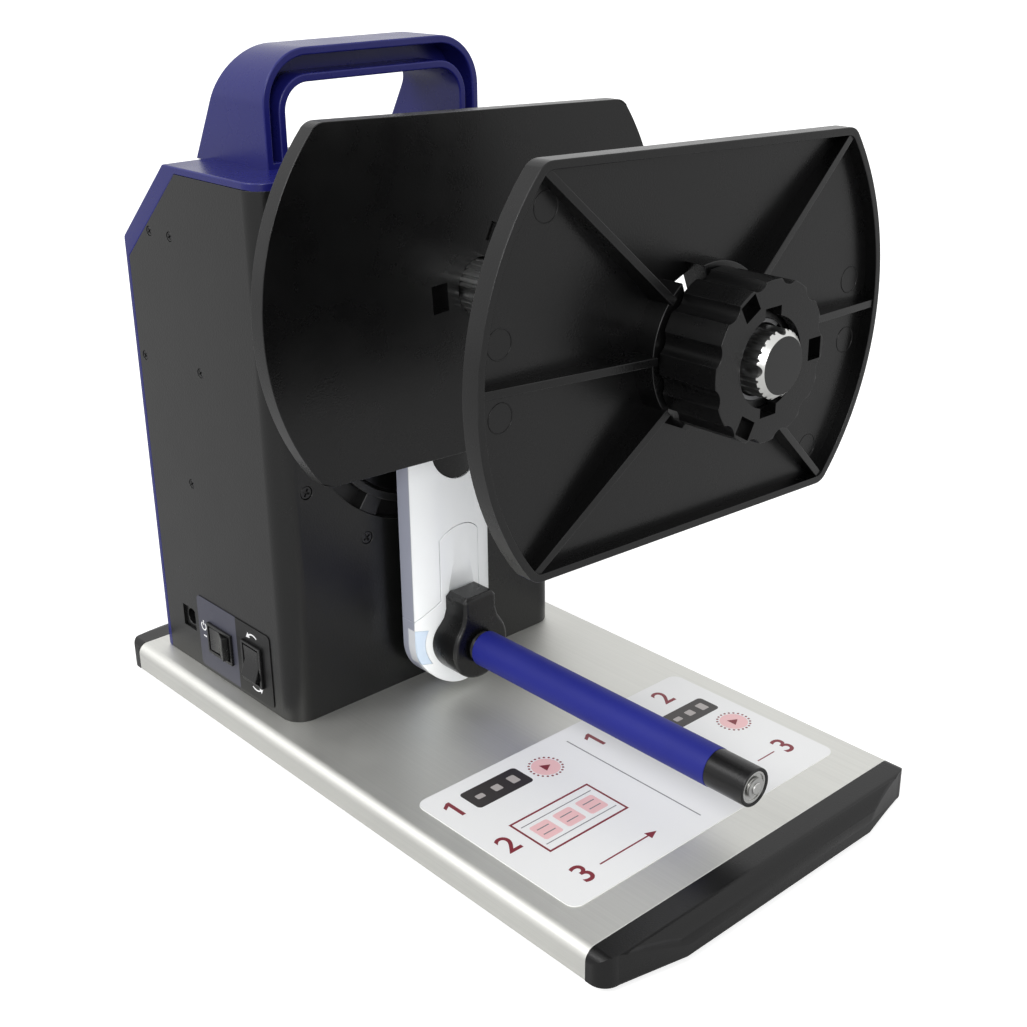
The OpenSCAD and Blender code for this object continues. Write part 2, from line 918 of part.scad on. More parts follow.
module power_inlet() {
    sink = 1.2;
    bore_l = 9;
    pin_short = 1.5;
    half = inlet_side / 2;
    color("#161616")
        on_left_wall(inlet_y, inlet_z) {
            difference() {
                translate([-half, -half, -inlet_depth])
                    cube([inlet_side, inlet_side, inlet_depth - sink]);
                translate([0, 0, -bore_l - sink])
                    cylinder(d = inlet_bore_d, h = bore_l + cut);
            }
            translate([0, 0, -bore_l - sink])
                cylinder(d = inlet_pin_d, h = bore_l - pin_short);
            for (s = [-1, 1])
                translate([s * lead_pitch / 2 - 0.4, -1.5, -inlet_depth - terminal_l])
                    cube([0.8, 3, terminal_l]);
        }
}

// Frame inside the tower

module pivot_plate() {
    ring_front = tower_front + 0.2;
    wall_r = dish_r + 2;
    flange_t = floor_front - inner_front;
    lug_front = tower_front + 0.7;
    boss_d = bearing_od + 7;
    bush_boss_d = pivot_d + 2 * bush_t + 8;
    bush_back = floor_front + bush_l;
    color("#242526")
        difference() {
            union() {
                along_y(inner_front, flange_t)
                    difference() {
                        intersection() {
                            translate([0, pivot_z])
                                circle(plate_flange_r);
                            translate([-plate_flange_half, 0])
                                square([2 * plate_flange_half, tower_top]);
                        }
                        translate([0, pivot_z])
                            circle(dish_r);
                    }
                ring(2 * wall_r, 2 * dish_ring_r, channel_floor, floor_back - channel_floor, 0, pivot_z);
                ring(2 * wall_r, 2 * dish_r, inner_front, floor_back - inner_front, 0, pivot_z);
                ring(2 * dish_ring_r, 2 * (dish_ring_r - dish_ring_w), ring_front,
                    floor_back - ring_front, 0, pivot_z);
                bar(2 * dish_ring_r, floor_front, floor_t, 0, pivot_z);
                bar(boss_d, floor_front, boss_back - floor_front, 0, spindle_z);
                bar(bush_boss_d, floor_front, bush_l, 0, pivot_z);
                for (s = [-1, 1])
                    along_y(lug_front, channel_floor - lug_front)
                        translate([0, pivot_z])
                            difference() {
                                intersection() {
                                    circle(dish_r);
                                    wedge(2 * dish_r, s * stop_angle, s * (stop_angle + stop_span));
                                }
                                circle(dish_ring_r);
                            }
            }
            bar(spindle_d + 3, tower_front - cut, floor_front - tower_front + cut, 0, spindle_z);
            bar(shoulder_od + 2, tower_front - cut, boss_back, 0, spindle_z);
            bar(bearing_od, bearing_front, boss_back, 0, spindle_z);
            bar(pivot_d + 2 * bush_t, floor_front - cut, bush_back, 0, pivot_z);
            plate_screw_places()
                bar(plate_screw_d, inner_front - cut, flange_t + 2 * cut);
        }
}

module pivot_plate_screws() {
    tip = 1;
    head_y = tower_front + plate_screw_sink;
    color("#101010")
        plate_screw_places() {
            bar(plate_screw_head_d, head_y, plate_screw_head_h);
            bar(plate_screw_d, head_y, floor_front + tip - head_y);
        }
}

module chassis_plate() {
    below = 45;
    above = 24;
    tab = 10;
    tab_reach = 5;
    low = pivot_z - below;
    high = spindle_z + above;
    tab_z = side_screws_at[3][1];
    tab_end = side_screws_at[3][0] + tab_reach;
    color("darkgray")
        difference() {
            union() {
                block([-chassis_half, chassis_front, low], [chassis_half, chassis_back, high]);
                for (s = [-1, 1]) {
                    block([s > 0 ? 0 : -inner_x, chassis_front, tab_z - tab],
                        [s > 0 ? inner_x : 0, chassis_back, tab_z + tab]);
                    block([s > 0 ? inner_x - chassis_t : -inner_x, chassis_front, tab_z - tab],
                        [s > 0 ? inner_x : -inner_x + chassis_t, tab_end, tab_z + tab]);
                }
            }
            bar(bearing_od, chassis_front - cut, chassis_t + 2 * cut, 0, spindle_z);
            bar(motor_boss_d, chassis_front - cut, chassis_t + 2 * cut, motor_x, motor_z);
            motor_screw_places()
                bar(small_screw_d, chassis_front - cut, chassis_t + 2 * cut);
            side_screw_places()
                cylinder(d = side_screw_d, h = tower_wall + tab_t);
        }
}

module frame_spacers() {
    color("silver")
        for (sx = [-1, 1], sz = [-1, 1])
            bar(spacer_d, floor_back, chassis_front - floor_back, sx * spacer_x, pivot_z + sz * spacer_dz);
}

module spindle_bearings() {
    color("gainsboro")
        for (y = [bearing_front, rear_bearing_front])
            translate([0, y, spindle_z])
                rotate([-90, 0, 0])
                    ball_bearing(bearing_od, journal_d + 2 * turn_fit, bearing_w);
}

module motor_screw_places() {
    circle_r = 0.36 * motor_d;
    for (a = [45 : 90 : 315])
        translate([motor_x + circle_r * cos(a), 0, motor_z + circle_r * sin(a)])
            children();
}

module drive_motor() {
    boss_l = 2;
    bore_l = 14;
    screw_l = 6;
    blade = [0.8, motor_blade_l, 4];
    color("#8d8f92")
        difference() {
            union() {
                bar(motor_d, chassis_back, motor_l, motor_x, motor_z);
                bar(motor_boss_d, chassis_front - boss_l, chassis_t + boss_l + cut, motor_x, motor_z);
                for (s = [-1, 1])
                    translate([motor_x + s * lead_pitch / 2 - blade[0] / 2, chassis_back + motor_l - cut,
                        motor_terminal_z])
                        cube([blade[0], blade[1] + cut, blade[2]]);
            }
            bar(motor_shaft_d + 2 * turn_fit, chassis_front - boss_l - cut, bore_l + cut, motor_x, motor_z);
            motor_screw_places()
                bar(small_screw_d, chassis_back - cut, screw_l + cut);
        }
}

module motor_screws() {
    head_h = 2;
    screw_l = 5;
    color("silver")
        motor_screw_places() {
            bar(small_head_d, chassis_front - head_h, head_h);
            bar(small_screw_d, chassis_front - head_h, head_h + chassis_t + screw_l);
        }
}

module motor_pinion() {
    color("goldenrod")
        difference() {
            translate([motor_x, 0, motor_z])
                along_y(gear_front, gear_w)
                    rotate(motor_angle + 180 + 180 / pinion_teeth)
                        gear_outline(pinion_teeth);
            bar(motor_shaft_d, gear_front - cut, gear_w + 2 * cut, motor_x, motor_z);
        }
}

module motor_shaft() {
    color("silver")
        bar(motor_shaft_d, gear_front - cut, chassis_front - gear_front + 10, motor_x, motor_z);
}

module control_board() {
    color("#1f5c38")
        difference() {
            block([board_x - board_w / 2, board_front, board_z],
                [board_x + board_w / 2, board_back, board_top]);
            standoff_places()
                cylinder(d = small_screw_d, h = 4 * board_h, center = true);
        }
}

module standoff_places() {
    for (x = [board_x - board_w / 2 + standoff_left, board_x + board_w / 2 - standoff_inset])
        for (y = [board_front + standoff_inset, board_back - standoff_inset])
            translate([x, y, board_z])
                children();
}

module board_standoffs() {
    head_h = 1.8;
    color("goldenrod")
        standoff_places() {
            translate([0, 0, -board_h])
                cylinder(d = 6, h = board_h);
            cylinder(d = small_screw_d, h = board_t);
            translate([0, 0, board_t])
                cylinder(d = small_head_d, h = head_h);
        }
}

module board_parts() {
    capacitor_d = 12;
    capacitor_h = 18;
    capacitor_x = 20;
    chip = [9, 9, 1.6];
    chip_x = -8;
    first = 14;
    pitch = 20;
    front_gap = 1;
    back_gap = 9;
    color("#3c3c40") {
        block([header_x - header_w / 2, board_front + front_gap, board_top],
            [header_x + header_w / 2, board_back - back_gap, board_top + header_h]);
        block([motor_x - header_w, motor_lead_y - header_w / 2, board_top],
            [motor_x + header_w, board_back, board_top + motor_header_h]);
        for (i = [0, 1])
            translate([board_x, board_front + first + i * pitch, board_top]) {
                translate([capacitor_x, 0, 0])
                    cylinder(d = capacitor_d, h = capacitor_h);
                translate([chip_x, 0, 0])
                    cube(chip);
            }
    }
}

module wiring_leads() {
    switch_end = -wall_x + switch_depth + terminal_l;
    inlet_end = -wall_x + inlet_depth + terminal_l;
    header_side = header_x - header_w / 2;
    switch_lead_z = board_top + header_h / 2;
    color("firebrick") {
        for (s = [-1, 1])
            translate([motor_x + s * lead_pitch / 2, motor_lead_y, board_top + motor_header_h])
                cylinder(d = lead_d, h = motor_terminal_z - board_top - motor_header_h);
        for (y = [power_y - lead_pitch / 2, power_y + lead_pitch / 2, direction_y - 2, direction_y + 2])
            translate([switch_end, y, switch_lead_z])
                rotate([0, 90, 0])
                    cylinder(d = lead_d, h = header_side - switch_end);
        for (y = [inlet_y - 2, inlet_y + 2])
            translate([inlet_end, y, switch_lead_z + 1])
                rotate([0, 90, 0])
                    cylinder(d = lead_d, h = header_side - inlet_end);
    }
}

// Spindle and flanges

module spindle_shaft() {
    keyway_r = 2.2;
    keyway_off = 0.9;
    flute_r = 0.55;
    flute_pitch = 90 / (flutes_per_side + 1.6);
    chamfer = 1.7;
    color("#b9bbbd")
        difference() {
            union() {
                along_y(spindle_front, flute_end - spindle_front)
                    translate([0, spindle_z])
                        difference() {
                            circle(d = spindle_d);
                            for (q = [0 : 3])
                                rotate(90 * q) {
                                    translate([spindle_d / 2 + keyway_off, 0])
                                        circle(keyway_r);
                                    for (i = [0 : flutes_per_side - 1])
                                        rotate(45 + (i - (flutes_per_side - 1) / 2) * flute_pitch)
                                            translate([spindle_d / 2 + flute_r / 4, 0])
                                                circle(flute_r);
                                }
                        }
                bar(shoulder_od, flute_end, bearing_front - fit - flute_end, 0, spindle_z);
                bar(journal_d, flute_end, spindle_back - flute_end, 0, spindle_z);
            }
            ring(journal_d + 2, clip_groove_d, clip_y, clip_t, 0, spindle_z);
            translate([0, spindle_front, spindle_z])
                rotate([-90, 0, 0])
                    difference() {
                        translate([0, 0, -cut])
                            cylinder(d = spindle_d + 4, h = cut + chamfer);
                        cylinder(d1 = spindle_d - 2 * chamfer, d2 = spindle_d, h = chamfer);
                    }
        }
}

module spindle_gear() {
    web = 3;
    rim_t = 4;
    boss_t = 5;
    rim_r = gear_module * gear_teeth / 2 - rim_t;
    boss_d = journal_d + 2 * boss_t;
    color("ivory")
        difference() {
            translate([0, 0, spindle_z])
                along_y(gear_front, gear_w)
                    rotate(motor_angle)
                        gear_outline(gear_teeth);
            ring(2 * rim_r, boss_d, gear_front - cut, (gear_w - web) / 2 + cut, 0, spindle_z);
            ring(2 * rim_r, boss_d, gear_front + (gear_w + web) / 2, gear_w, 0, spindle_z);
            bar(journal_d, gear_front - cut, gear_w + 2 * cut, 0, spindle_z);
        }
}

module spindle_clip() {
    color("silver")
        difference() {
            ring(journal_d + 5, clip_groove_d, clip_y, clip_t, 0, spindle_z);
            block([-clip_groove_d / 2, clip_y - cut, spindle_z - journal_d],
                [clip_groove_d / 2, clip_y + clip_t + cut, spindle_z]);
        }
}

// Flange outline: round sides, flats above and below, and corners rounded in short steps
module flange_outline(inset) {
    r = flange_d / 2 - inset;
    h = flange_h / 2 - inset;
    c = max(flange_corner_r - inset, 0.5);
    cx = sqrt((r - c) * (r - c) - (h - c) * (h - c));
    step = 10;
    last = 50;
    run_out = 30;
    quarter = concat(
        [for (a = [90 : -step : last]) [cx + c * cos(a), h - c + c * sin(a)]],
        [[cx + c * cos(last) + run_out * sin(last), h - c + c * sin(last) - run_out * cos(last)]]);
    half = concat([for (i = [len(quarter) - 1 : -1 : 0]) [-quarter[i][0], quarter[i][1]]], quarter);
    intersection() {
        circle(r, $fn = 128);
        polygon(concat(half, [for (i = [len(half) - 1 : -1 : 0]) [half[i][0], -half[i][1]]]));
    }
}

// One flange moulding: plain face at Y = 0, rim, ribs and hub towards +Y
module flange(bore_d, counterbore_d) {
    rib_end = flange_d / 2 - 0.7 * flange_rim;
    rib_root = hub_bore_d / 2 + 1;
    rib_start = knob_d / 2 + knob_gap;
    rib_low = flange_depth - 0.1 * flange_depth;
    rib_high = flange_depth + hub_step + 0.5 * hub_step;
    corner_angle = asin((flange_h - flange_corner_r) / (flange_d - flange_corner_r));
    difference() {
        union() {
            along_y(0, flange_skin)
                flange_outline(0);
            along_y(0, flange_depth)
                difference() {
                    flange_outline(0);
                    flange_outline(flange_rim);
                }
            for (a = [0, corner_angle, -corner_angle], half_turn = [0, 180])
                rotate([0, a + half_turn, 0])
                    translate([0, 0, -flange_rim / 2])
                        linear_extrude(flange_rim)
                            polygon([
                                [rib_root, 0], [rib_end, 0], [rib_end, rib_low],
                                [rib_start, rib_high], [rib_start, flange_depth],
                                [rib_root, flange_depth]]);
            bar(hub_step_d, 0, flange_depth + hub_step);
            bar(hub_d, 0, hub_l);
        }
        bar(bore_d, -cut, hub_l + 2 * cut);
        bar(counterbore_d, collet_start, hub_l);
        for (a = [66, 186, 306])
            rotate([0, -a, 0])
                block([window_r - window_depth / 2, -cut, -window_w / 2],
                    [hub_step_d / 2 + cut, flange_depth + hub_step + cut, window_w / 2]);
    }
    for (a = [66, 186, 306])
        rotate([0, -a, 0])
            block([window_r + window_depth / 2, 0, -window_w / 2 - 0.5],
                [hub_step_d / 2 + 2, flange_skin, window_w / 2 + 0.5]);
}

module inner_flange() {
    color("#29292a")
        translate([0, inner_face, spindle_z])
            rotate([0, flange_turn, 0])
                flange(spindle_d + 0.1, spindle_d + 0.1);
}

module flange_collar() {
    collar_w = 8;
    collar_t = 4;
    color("#3a3a3c")
        ring(hub_d + 2 * collar_t, hub_d, inner_face + hub_l - collar_w, collar_w, 0, spindle_z);
}

module outer_flange() {
    color("#29292a")
        translate([0, outer_face, spindle_z])
            rotate([0, flange_turn, 0])
                rotate([0, 0, 180])
                    flange(hub_bore_d, collet_bore_d);
}

module clamp_collet() {
    slot_w = 2;
    collet_l = hub_l - collet_start;
    y = outer_face - hub_l;
    color("#56585a")
        difference() {
            ring(collet_bore_d, collet_bore_d - 2 * collet_t, y, collet_l, 0, spindle_z);
            for (a = [45, 135])
                translate([0, 0, spindle_z])
                    rotate([0, a, 0])
                        block([-knob_d, y - cut, -slot_w / 2], [knob_d, y + collet_l - 4, slot_w / 2]);
        }
}

module lock_knob() {
    scallop_r = 4.2;
    scallop_depth = 1.5;
    bore_d = hub_d + 2 * fit;
    notch = [5.5, 4, 6.5];
    notch_r = knob_d / 2 - 1 - notch[0];
    key_w = 7;
    key_h = knob_hole_d + 5;
    color("#1d1d1e")
        difference() {
            along_y(knob_front, knob_l)
                translate([0, spindle_z])
                    difference() {
                        circle(d = knob_d);
                        for (i = [0 : knob_scallops - 1])
                            rotate(360 * (i + 0.5) / knob_scallops)
                                translate([knob_d / 2 + scallop_r - scallop_depth, 0])
                                    circle(scallop_r);
                    }
            bar(bore_d, knob_front + knob_face_t, knob_l, 0, spindle_z);
            bar(knob_hole_d, knob_front - cut, knob_l, 0, spindle_z);
            block([-key_w / 2, knob_front - cut, spindle_z - key_h / 2],
                [key_w / 2, knob_front + knob_face_t + cut, spindle_z + key_h / 2]);
            for (a = [0, 120, 240])
                translate([0, knob_front, spindle_z])
                    rotate([0, -a, 0])
                        translate([notch_r, -cut, -notch[2] / 2])
                            cube([notch[0], notch[1] + cut, notch[2]]);
        }
}

// Tension arm

module arm_outline(inset) {
    r = arm_w / 2 - inset;
    translate([-r, roller_z])
        square([2 * r, arm_top_z - roller_z]);
    for (z = [roller_z, arm_top_z])
        translate([0, z])
            circle(r);
}

// The crown of the arm's face, as a solid that reaches to the arm's back
module crown_solid(inset) {
    intersection() {
        translate([0, crown_y, 0])
            cylinder(r = crown_r - inset, h = tower_top, $fn = 128);
        block([-arm_w, 0, 0], [arm_w, arm_back, tower_top]);
    }
}

module arm_shell() {
    difference() {
        intersection() {
            along_y(arm_front - cut, arm_back - arm_front + cut)
                arm_outline(0);
            crown_solid(0);
        }
        difference() {
            intersection() {
                along_y(arm_front, arm_back - arm_front + cut)
                    arm_outline(arm_wall);
                union() {
                    crown_solid(arm_wall);
                    block([-arm_w, arm_back - cut, 0], [arm_w, arm_back + cut, tower_top]);
                }
            }
            along_y(arm_front, lever_front - arm_front)
                tongue_core();
        }
    }
}

// Filled middle of the lower cover, under the scoop and the bracket
module tongue_core() {
    translate([-tongue_half + arm_wall, roller_z])
        square([2 * (tongue_half - arm_wall), tongue_top - tongue_r - roller_z + arm_wall]);
}

// Outline of the lower cover, with an arched tongue in its middle
module lower_zone(gap) {
    half = tongue_half - gap;
    side = arm_w / 2 + cut;
    arch_z = tongue_top - tongue_r - gap;
    shoulder_z = arch_z + 6;
    polygon([
        [-side, 0], [side, 0], [side, seam_side_z - gap], [half, seam_elbow_z - gap],
        [half, shoulder_z], [-half, shoulder_z], [-half, seam_elbow_z - gap], [-side, seam_side_z - gap]]);
    intersection() {
        translate([0, arch_z])
            circle(tongue_r);
        translate([-half, arch_z])
            square([2 * half, 2 * tongue_r]);
    }
}

module arm_window_zone(gap) {
    along_y(0, window_back - gap)
        difference() {
            translate([-arm_w, window_low + gap])
                square([arm_w, window_high - window_low - 2 * gap]);
            translate([0, roller_z])
                circle(lens_ring_r + gap);
        }
}

module arm_upper_cover() {
    color("#dfe3e8")
        difference() {
            arm_shell();
            along_y(0, arm_back + cut)
                lower_zone(0);
            bar(2 * (arm_cap_r + fit), 0, arm_back, 0, arm_cap_z);
        }
}

module arm_lower_cover() {
    scoop_r = 10;
    scoop_deep = 3.3;
    scoop_rise = 21;
    scoop_tuck = 5;
    scoop_low = bracket_top - scoop_tuck;
    tilt = atan(scoop_deep / scoop_rise);
    color("#d3d8de")
        difference() {
            union() {
                intersection() {
                    arm_shell();
                    along_y(0, arm_back + cut)
                        lower_zone(seam);
                }
                intersection() {
                    bar(2 * pedestal_r, 0, lever_front, 0, roller_z);
                    crown_solid(0);
                }
            }
            arm_window_zone(0);
            translate([0, arm_front - scoop_r + scoop_deep, scoop_low])
                rotate([tilt, 0, 0])
                    cylinder(r = scoop_r, h = 2 * scoop_rise);
            bar(axle_d, 0, arm_back, 0, roller_z);
            bracket_screw_places()
                bar(small_screw_d, 0, arm_back);
        }
}

module arm_window() {
    color("#b9d3ea")
        intersection() {
            arm_shell();
            arm_window_zone(seam / 2);
        }
}

module arm_screw_cap() {
    recess = 0.4;
    color("#151617")
        intersection() {
            bar(2 * arm_cap_r, 0, lever_front - 3, 0, arm_cap_z);
            crown_solid(recess);
        }
}

module arm_lever() {
    color("#9a9c9f")
        difference() {
            union() {
                along_y(lever_front, lever_t)
                    arm_outline(arm_wall + fit);
                bar(stop_pin_d, lever_front, channel_floor - 1 - lever_front, 0, pivot_z - stop_r);
            }
            bar(pivot_d, 0, tower_back, 0, pivot_z);
            bar(axle_d, 0, arm_back + cut, 0, roller_z);
            bracket_screw_places()
                bar(small_screw_d, 0, arm_back + cut);
            arm_screw_places()
                bar(small_screw_d, 0, arm_back + cut);
        }
}

module arm_screw_places() {
    hub_circle = 11;
    translate([0, 0, arm_cap_z])
        children();
    for (a = [90, 210, 330])
        translate([hub_circle * cos(a), 0, pivot_z + hub_circle * sin(a)])
            children();
}

module arm_disc() {
    hub_r = 16;
    boss_r = 6;
    notch_r = 26;
    notch_half = 62;
    color("#2c2d2f")
        difference() {
            union() {
                along_y(disc_front, disc_t)
                    translate([0, pivot_z])
                        difference() {
                            circle(disc_r);
                            difference() {
                                wedge(2 * disc_r, 180 - notch_half, 180 + notch_half);
                                circle(notch_r);
                            }
                        }
                bar(2 * hub_r, arm_back, disc_front - arm_back, 0, pivot_z);
                bar(2 * boss_r, arm_back, disc_front - arm_back, 0, arm_cap_z);
            }
            bar(pivot_d, 0, tower_back, 0, pivot_z);
            arm_screw_places()
                bar(small_screw_d, 0, tower_back);
        }
}

module arm_screws() {
    head_h = 2.5;
    color("silver")
        arm_screw_places() {
            bar(small_head_d, lever_front - head_h, head_h);
            bar(small_screw_d, lever_front - head_h, disc_front + 1 - lever_front + head_h);
        }
}

module arm_pivot_shaft() {
    groove_d = pivot_d - 1.4;
    color("silver")
        difference() {
            bar(pivot_d, lever_front, pivot_end - lever_front, 0, pivot_z);
            ring(pivot_d + 2, groove_d, flag_y + flag_hub_l, 1, 0, pivot_z);
        }
}

module pivot_clip() {
    color("silver")
        difference() {
            ring(pivot_d + 5, pivot_d - 1.4, flag_y + flag_hub_l, 1, 0, pivot_z);
            block([-pivot_d / 2 + 0.7, flag_y, pivot_z - pivot_d], [pivot_d / 2 - 0.7, pivot_end, pivot_z]);
        }
}

module sensor_flag() {
    hub_d = pivot_d + 6;
    blade_y = flag_y + (flag_hub_l - flag_t) / 2;
    color("#202020")
        difference() {
            union() {
                bar(hub_d, flag_y, flag_hub_l, 0, pivot_z);
                along_y(blade_y, flag_t)
                    translate([0, pivot_z])
                        intersection() {
                            circle(flag_r);
                            wedge(2 * flag_r, -12, 12);
                        }
            }
            bar(pivot_d, flag_y - cut, flag_hub_l + 2 * cut, 0, pivot_z);
        }
}

module arm_sensor() {
    half = 7;
    slot_half = 1.4;
    floor_h = 5;
    slot_mid = flag_y + flag_hub_l / 2;
    top = pivot_z - flag_r + 6;
    low = top - 14;
    color("#18181a")
        difference() {
            block([-half, flag_y - 1, low], [half, chassis_front, top]);
            block([-half - cut, slot_mid - slot_half, low + floor_h],
                [half + cut, slot_mid + slot_half, top + cut]);
        }
}

module arm_bush() {
    color("#b08d57")
        ring(pivot_d + 2 * bush_t, pivot_d + 2 * turn_fit, floor_front, bush_l, 0, pivot_z);
}

module arm_spring() {
    gap = 2;
    color("gray")
        ring(pivot_d + 2 * gap + 2 * spring_t, pivot_d + 2 * gap,
            floor_front + bush_l, spring_l, 0, pivot_z);
}

// Roller and its bracket

module bracket_screw_places() {
    screw_x = 5;
    screw_rise = 12;
    for (s = [-1, 1])
        translate([s * screw_x, 0, roller_z + screw_rise])
            children();
}

// Round end and neck of the bracket, with a soft flare between them
module bracket_outline() {
    flare_z = 7.6;
    flare_x = sqrt(bracket_r * bracket_r - flare_z * flare_z);
    mid_x = neck_half + 1;
    mid_z = flare_z + 3;
    neck_z = flare_z + 6.6;
    corner = 1.8;
    translate([0, roller_z]) {
        circle(bracket_r);
        polygon([
            [-flare_x, flare_z], [flare_x, flare_z], [mid_x, mid_z], [neck_half, neck_z],
            [neck_half, bracket_rise - corner], [neck_half - corner, bracket_rise],
            [corner - neck_half, bracket_rise], [-neck_half, bracket_rise - corner],
            [-neck_half, neck_z], [-mid_x, mid_z]]);
    }
}

module roller_bracket() {
    collar_d = roller_tube_d;
    color("#1b1c1d")
        difference() {
            union() {
                along_y(bracket_front, arm_edge - bracket_front)
                    bracket_outline();
                bar(collar_d, collar_front, collar_l + cut, 0, roller_z);
            }
            crown_solid(-fit);
            bar(axle_d, collar_front - cut, arm_back, 0, roller_z);
            bracket_screw_places()
                bar(small_screw_d, bracket_back - bracket_screw_l, arm_back);
        }
}

module bracket_screws() {
    head_h = 2;
    tip = bracket_back - bracket_screw_l;
    color("silver")
        bracket_screw_places() {
            bar(small_screw_d, tip, arm_back - tip);
            bar(small_head_d, arm_back, head_h);
        }
}

module roller_axle() {
    groove_d = axle_d - 1;
    color("silver")
        difference() {
            bar(axle_d, axle_front, arm_back - axle_front, 0, roller_z);
            ring(axle_d + 2, groove_d, roller_front - 0.5, 0.5, 0, roller_z);
        }
}

module roller_tube() {
    color("silver")
        ring(roller_tube_d, roller_bearing_d, tube_end, roller_back - tube_end, 0, roller_z);
}

module roller_sleeve() {
    color("#2b2f9a")
        ring(roller_d, roller_tube_d, sleeve_front, sleeve_l, 0, roller_z);
}

module roller_end_cap() {
    lip = 0.15;
    color("#1c1d1e")
        difference() {
            bar(roller_d - 2 * lip, roller_front, roller_cap_l, 0, roller_z);
            bar(roller_tube_d, tube_end, roller_cap_l, 0, roller_z);
            bar(roller_bearing_d, roller_front - cut, roller_cap_l, 0, roller_z);
        }
}

module roller_bearings() {
    set_back = 0.3;
    color("gainsboro")
        for (y = [roller_front + set_back, roller_back - set_back - roller_bearing_w])
            translate([0, y, roller_z])
                rotate([-90, 0, 0])
                    ball_bearing(roller_bearing_d, axle_d + 2 * turn_fit, roller_bearing_w);
}

module axle_clip() {
    color("silver")
        difference() {
            ring(axle_d + 3, axle_d - 1, roller_front - 0.5, 0.5, 0, roller_z);
            block([-axle_d / 2 + 0.5, roller_front - 1, roller_z - axle_d],
                [axle_d / 2 - 0.5, roller_front + 1, roller_z]);
        }
}

base_plate();
underside_plate();
front_end_cap();
rear_end_cap();
rubber_feet();
instruction_label();
base_screws();
tower_housing();
rear_cover();
side_screws();
switch_panel();
power_switch_body();
power_rocker();
direction_switch_body();
direction_rocker();
power_inlet();
pivot_plate();
pivot_plate_screws();
chassis_plate();
frame_spacers();
spindle_bearings();
drive_motor();
motor_screws();
motor_pinion();
motor_shaft();
control_board();
board_parts();
board_standoffs();
wiring_leads();
arm_bush();
arm_spring();
arm_sensor();
spindle_shaft();
spindle_gear();
spindle_clip();
inner_flange();
flange_collar();
outer_flange();
clamp_collet();
lock_knob();
arm_lever();
arm_disc();
arm_pivot_shaft();
pivot_clip();
sensor_flag();
arm_screws();
arm_upper_cover();
arm_lower_cover();
arm_window();
arm_screw_cap();
roller_bracket();
bracket_screws();
roller_axle();
roller_tube();
roller_sleeve();
roller_end_cap();
roller_bearings();
axle_clip();
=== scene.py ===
import json
import math

import bmesh
import bpy
from mathutils import Matrix, Vector


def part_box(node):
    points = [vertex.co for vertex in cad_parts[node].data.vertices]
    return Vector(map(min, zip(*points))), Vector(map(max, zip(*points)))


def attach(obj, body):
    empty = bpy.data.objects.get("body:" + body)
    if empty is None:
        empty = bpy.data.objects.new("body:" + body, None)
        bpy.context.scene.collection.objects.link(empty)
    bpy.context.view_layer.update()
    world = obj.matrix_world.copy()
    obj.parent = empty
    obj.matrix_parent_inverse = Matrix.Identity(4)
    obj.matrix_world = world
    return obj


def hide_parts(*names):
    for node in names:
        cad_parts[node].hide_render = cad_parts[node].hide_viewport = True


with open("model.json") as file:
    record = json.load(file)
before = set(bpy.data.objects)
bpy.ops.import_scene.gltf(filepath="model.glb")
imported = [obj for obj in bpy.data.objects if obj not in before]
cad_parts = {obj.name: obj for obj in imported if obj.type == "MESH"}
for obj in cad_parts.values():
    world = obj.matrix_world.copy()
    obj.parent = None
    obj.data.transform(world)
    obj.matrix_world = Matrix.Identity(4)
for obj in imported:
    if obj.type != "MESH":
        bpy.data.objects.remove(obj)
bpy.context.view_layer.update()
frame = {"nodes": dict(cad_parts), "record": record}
nodes = frame["nodes"]
slotOf = {row["node"]: row["material_slot"] for row in frame["record"]["subparts"]}
bodyOf = {node: body for body, names in frame["record"]["behaviour"]["bodies"].items() for node in names}
mm = 0.001

# camera, at the place the picture was taken from: metres and degrees, lens and sensor in millimetres
cameraSpot = {"place": (-0.31694, -0.36786, 0.29175), "azimuth": -42.08, "elevation": 22.78, "roll": -0.63,
              "lens": 51.44, "sensor": 36.0, "near": 0.01, "far": 20.0}


def turnOf(spot):
    azimuth, elevation, roll = (math.radians(spot[key]) for key in ("azimuth", "elevation", "roll"))
    flat = math.cos(elevation)
    back = Vector((math.sin(azimuth) * flat, -math.cos(azimuth) * flat, math.sin(elevation)))
    right = Vector((math.cos(azimuth), math.sin(azimuth), 0))
    up = back.cross(right)
    tilted = math.cos(roll) * right + math.sin(roll) * up
    return Matrix((tilted, back.cross(tilted), back)).transposed().to_4x4()


cameraData = bpy.data.cameras.new("viewCamera")
cameraData.lens, cameraData.sensor_width = cameraSpot["lens"], cameraSpot["sensor"]
cameraData.clip_start, cameraData.clip_end = cameraSpot["near"], cameraSpot["far"]
viewCamera = bpy.data.objects.new("viewCamera", cameraData)
viewCamera.matrix_world = Matrix.Translation(cameraSpot["place"]) @ turnOf(cameraSpot)
bpy.context.scene.collection.objects.link(viewCamera)
bpy.context.scene.camera = viewCamera
bpy.context.scene.view_settings.view_transform = "Standard"
print("camera set")


# node helpers: a value is a plain one, or the socket that gives it
def plug(tree, socket, value):
    if isinstance(value, bpy.types.NodeSocket):
        tree.links.new(value, socket)
    else:
        socket.default_value = value


def put(tree, kind, sockets=None, **settings):
    node = tree.nodes.new(kind)
    for key, value in settings.items():
        setattr(node, key, value)
    for key, value in (sockets or {}).items():
        plug(tree, node.inputs[key], value)
    return node


def blendColour(tree, factor, first, second):
    return put(tree, "ShaderNodeMix", {0: factor, 6: first, 7: second}, data_type="RGBA").outputs[2]


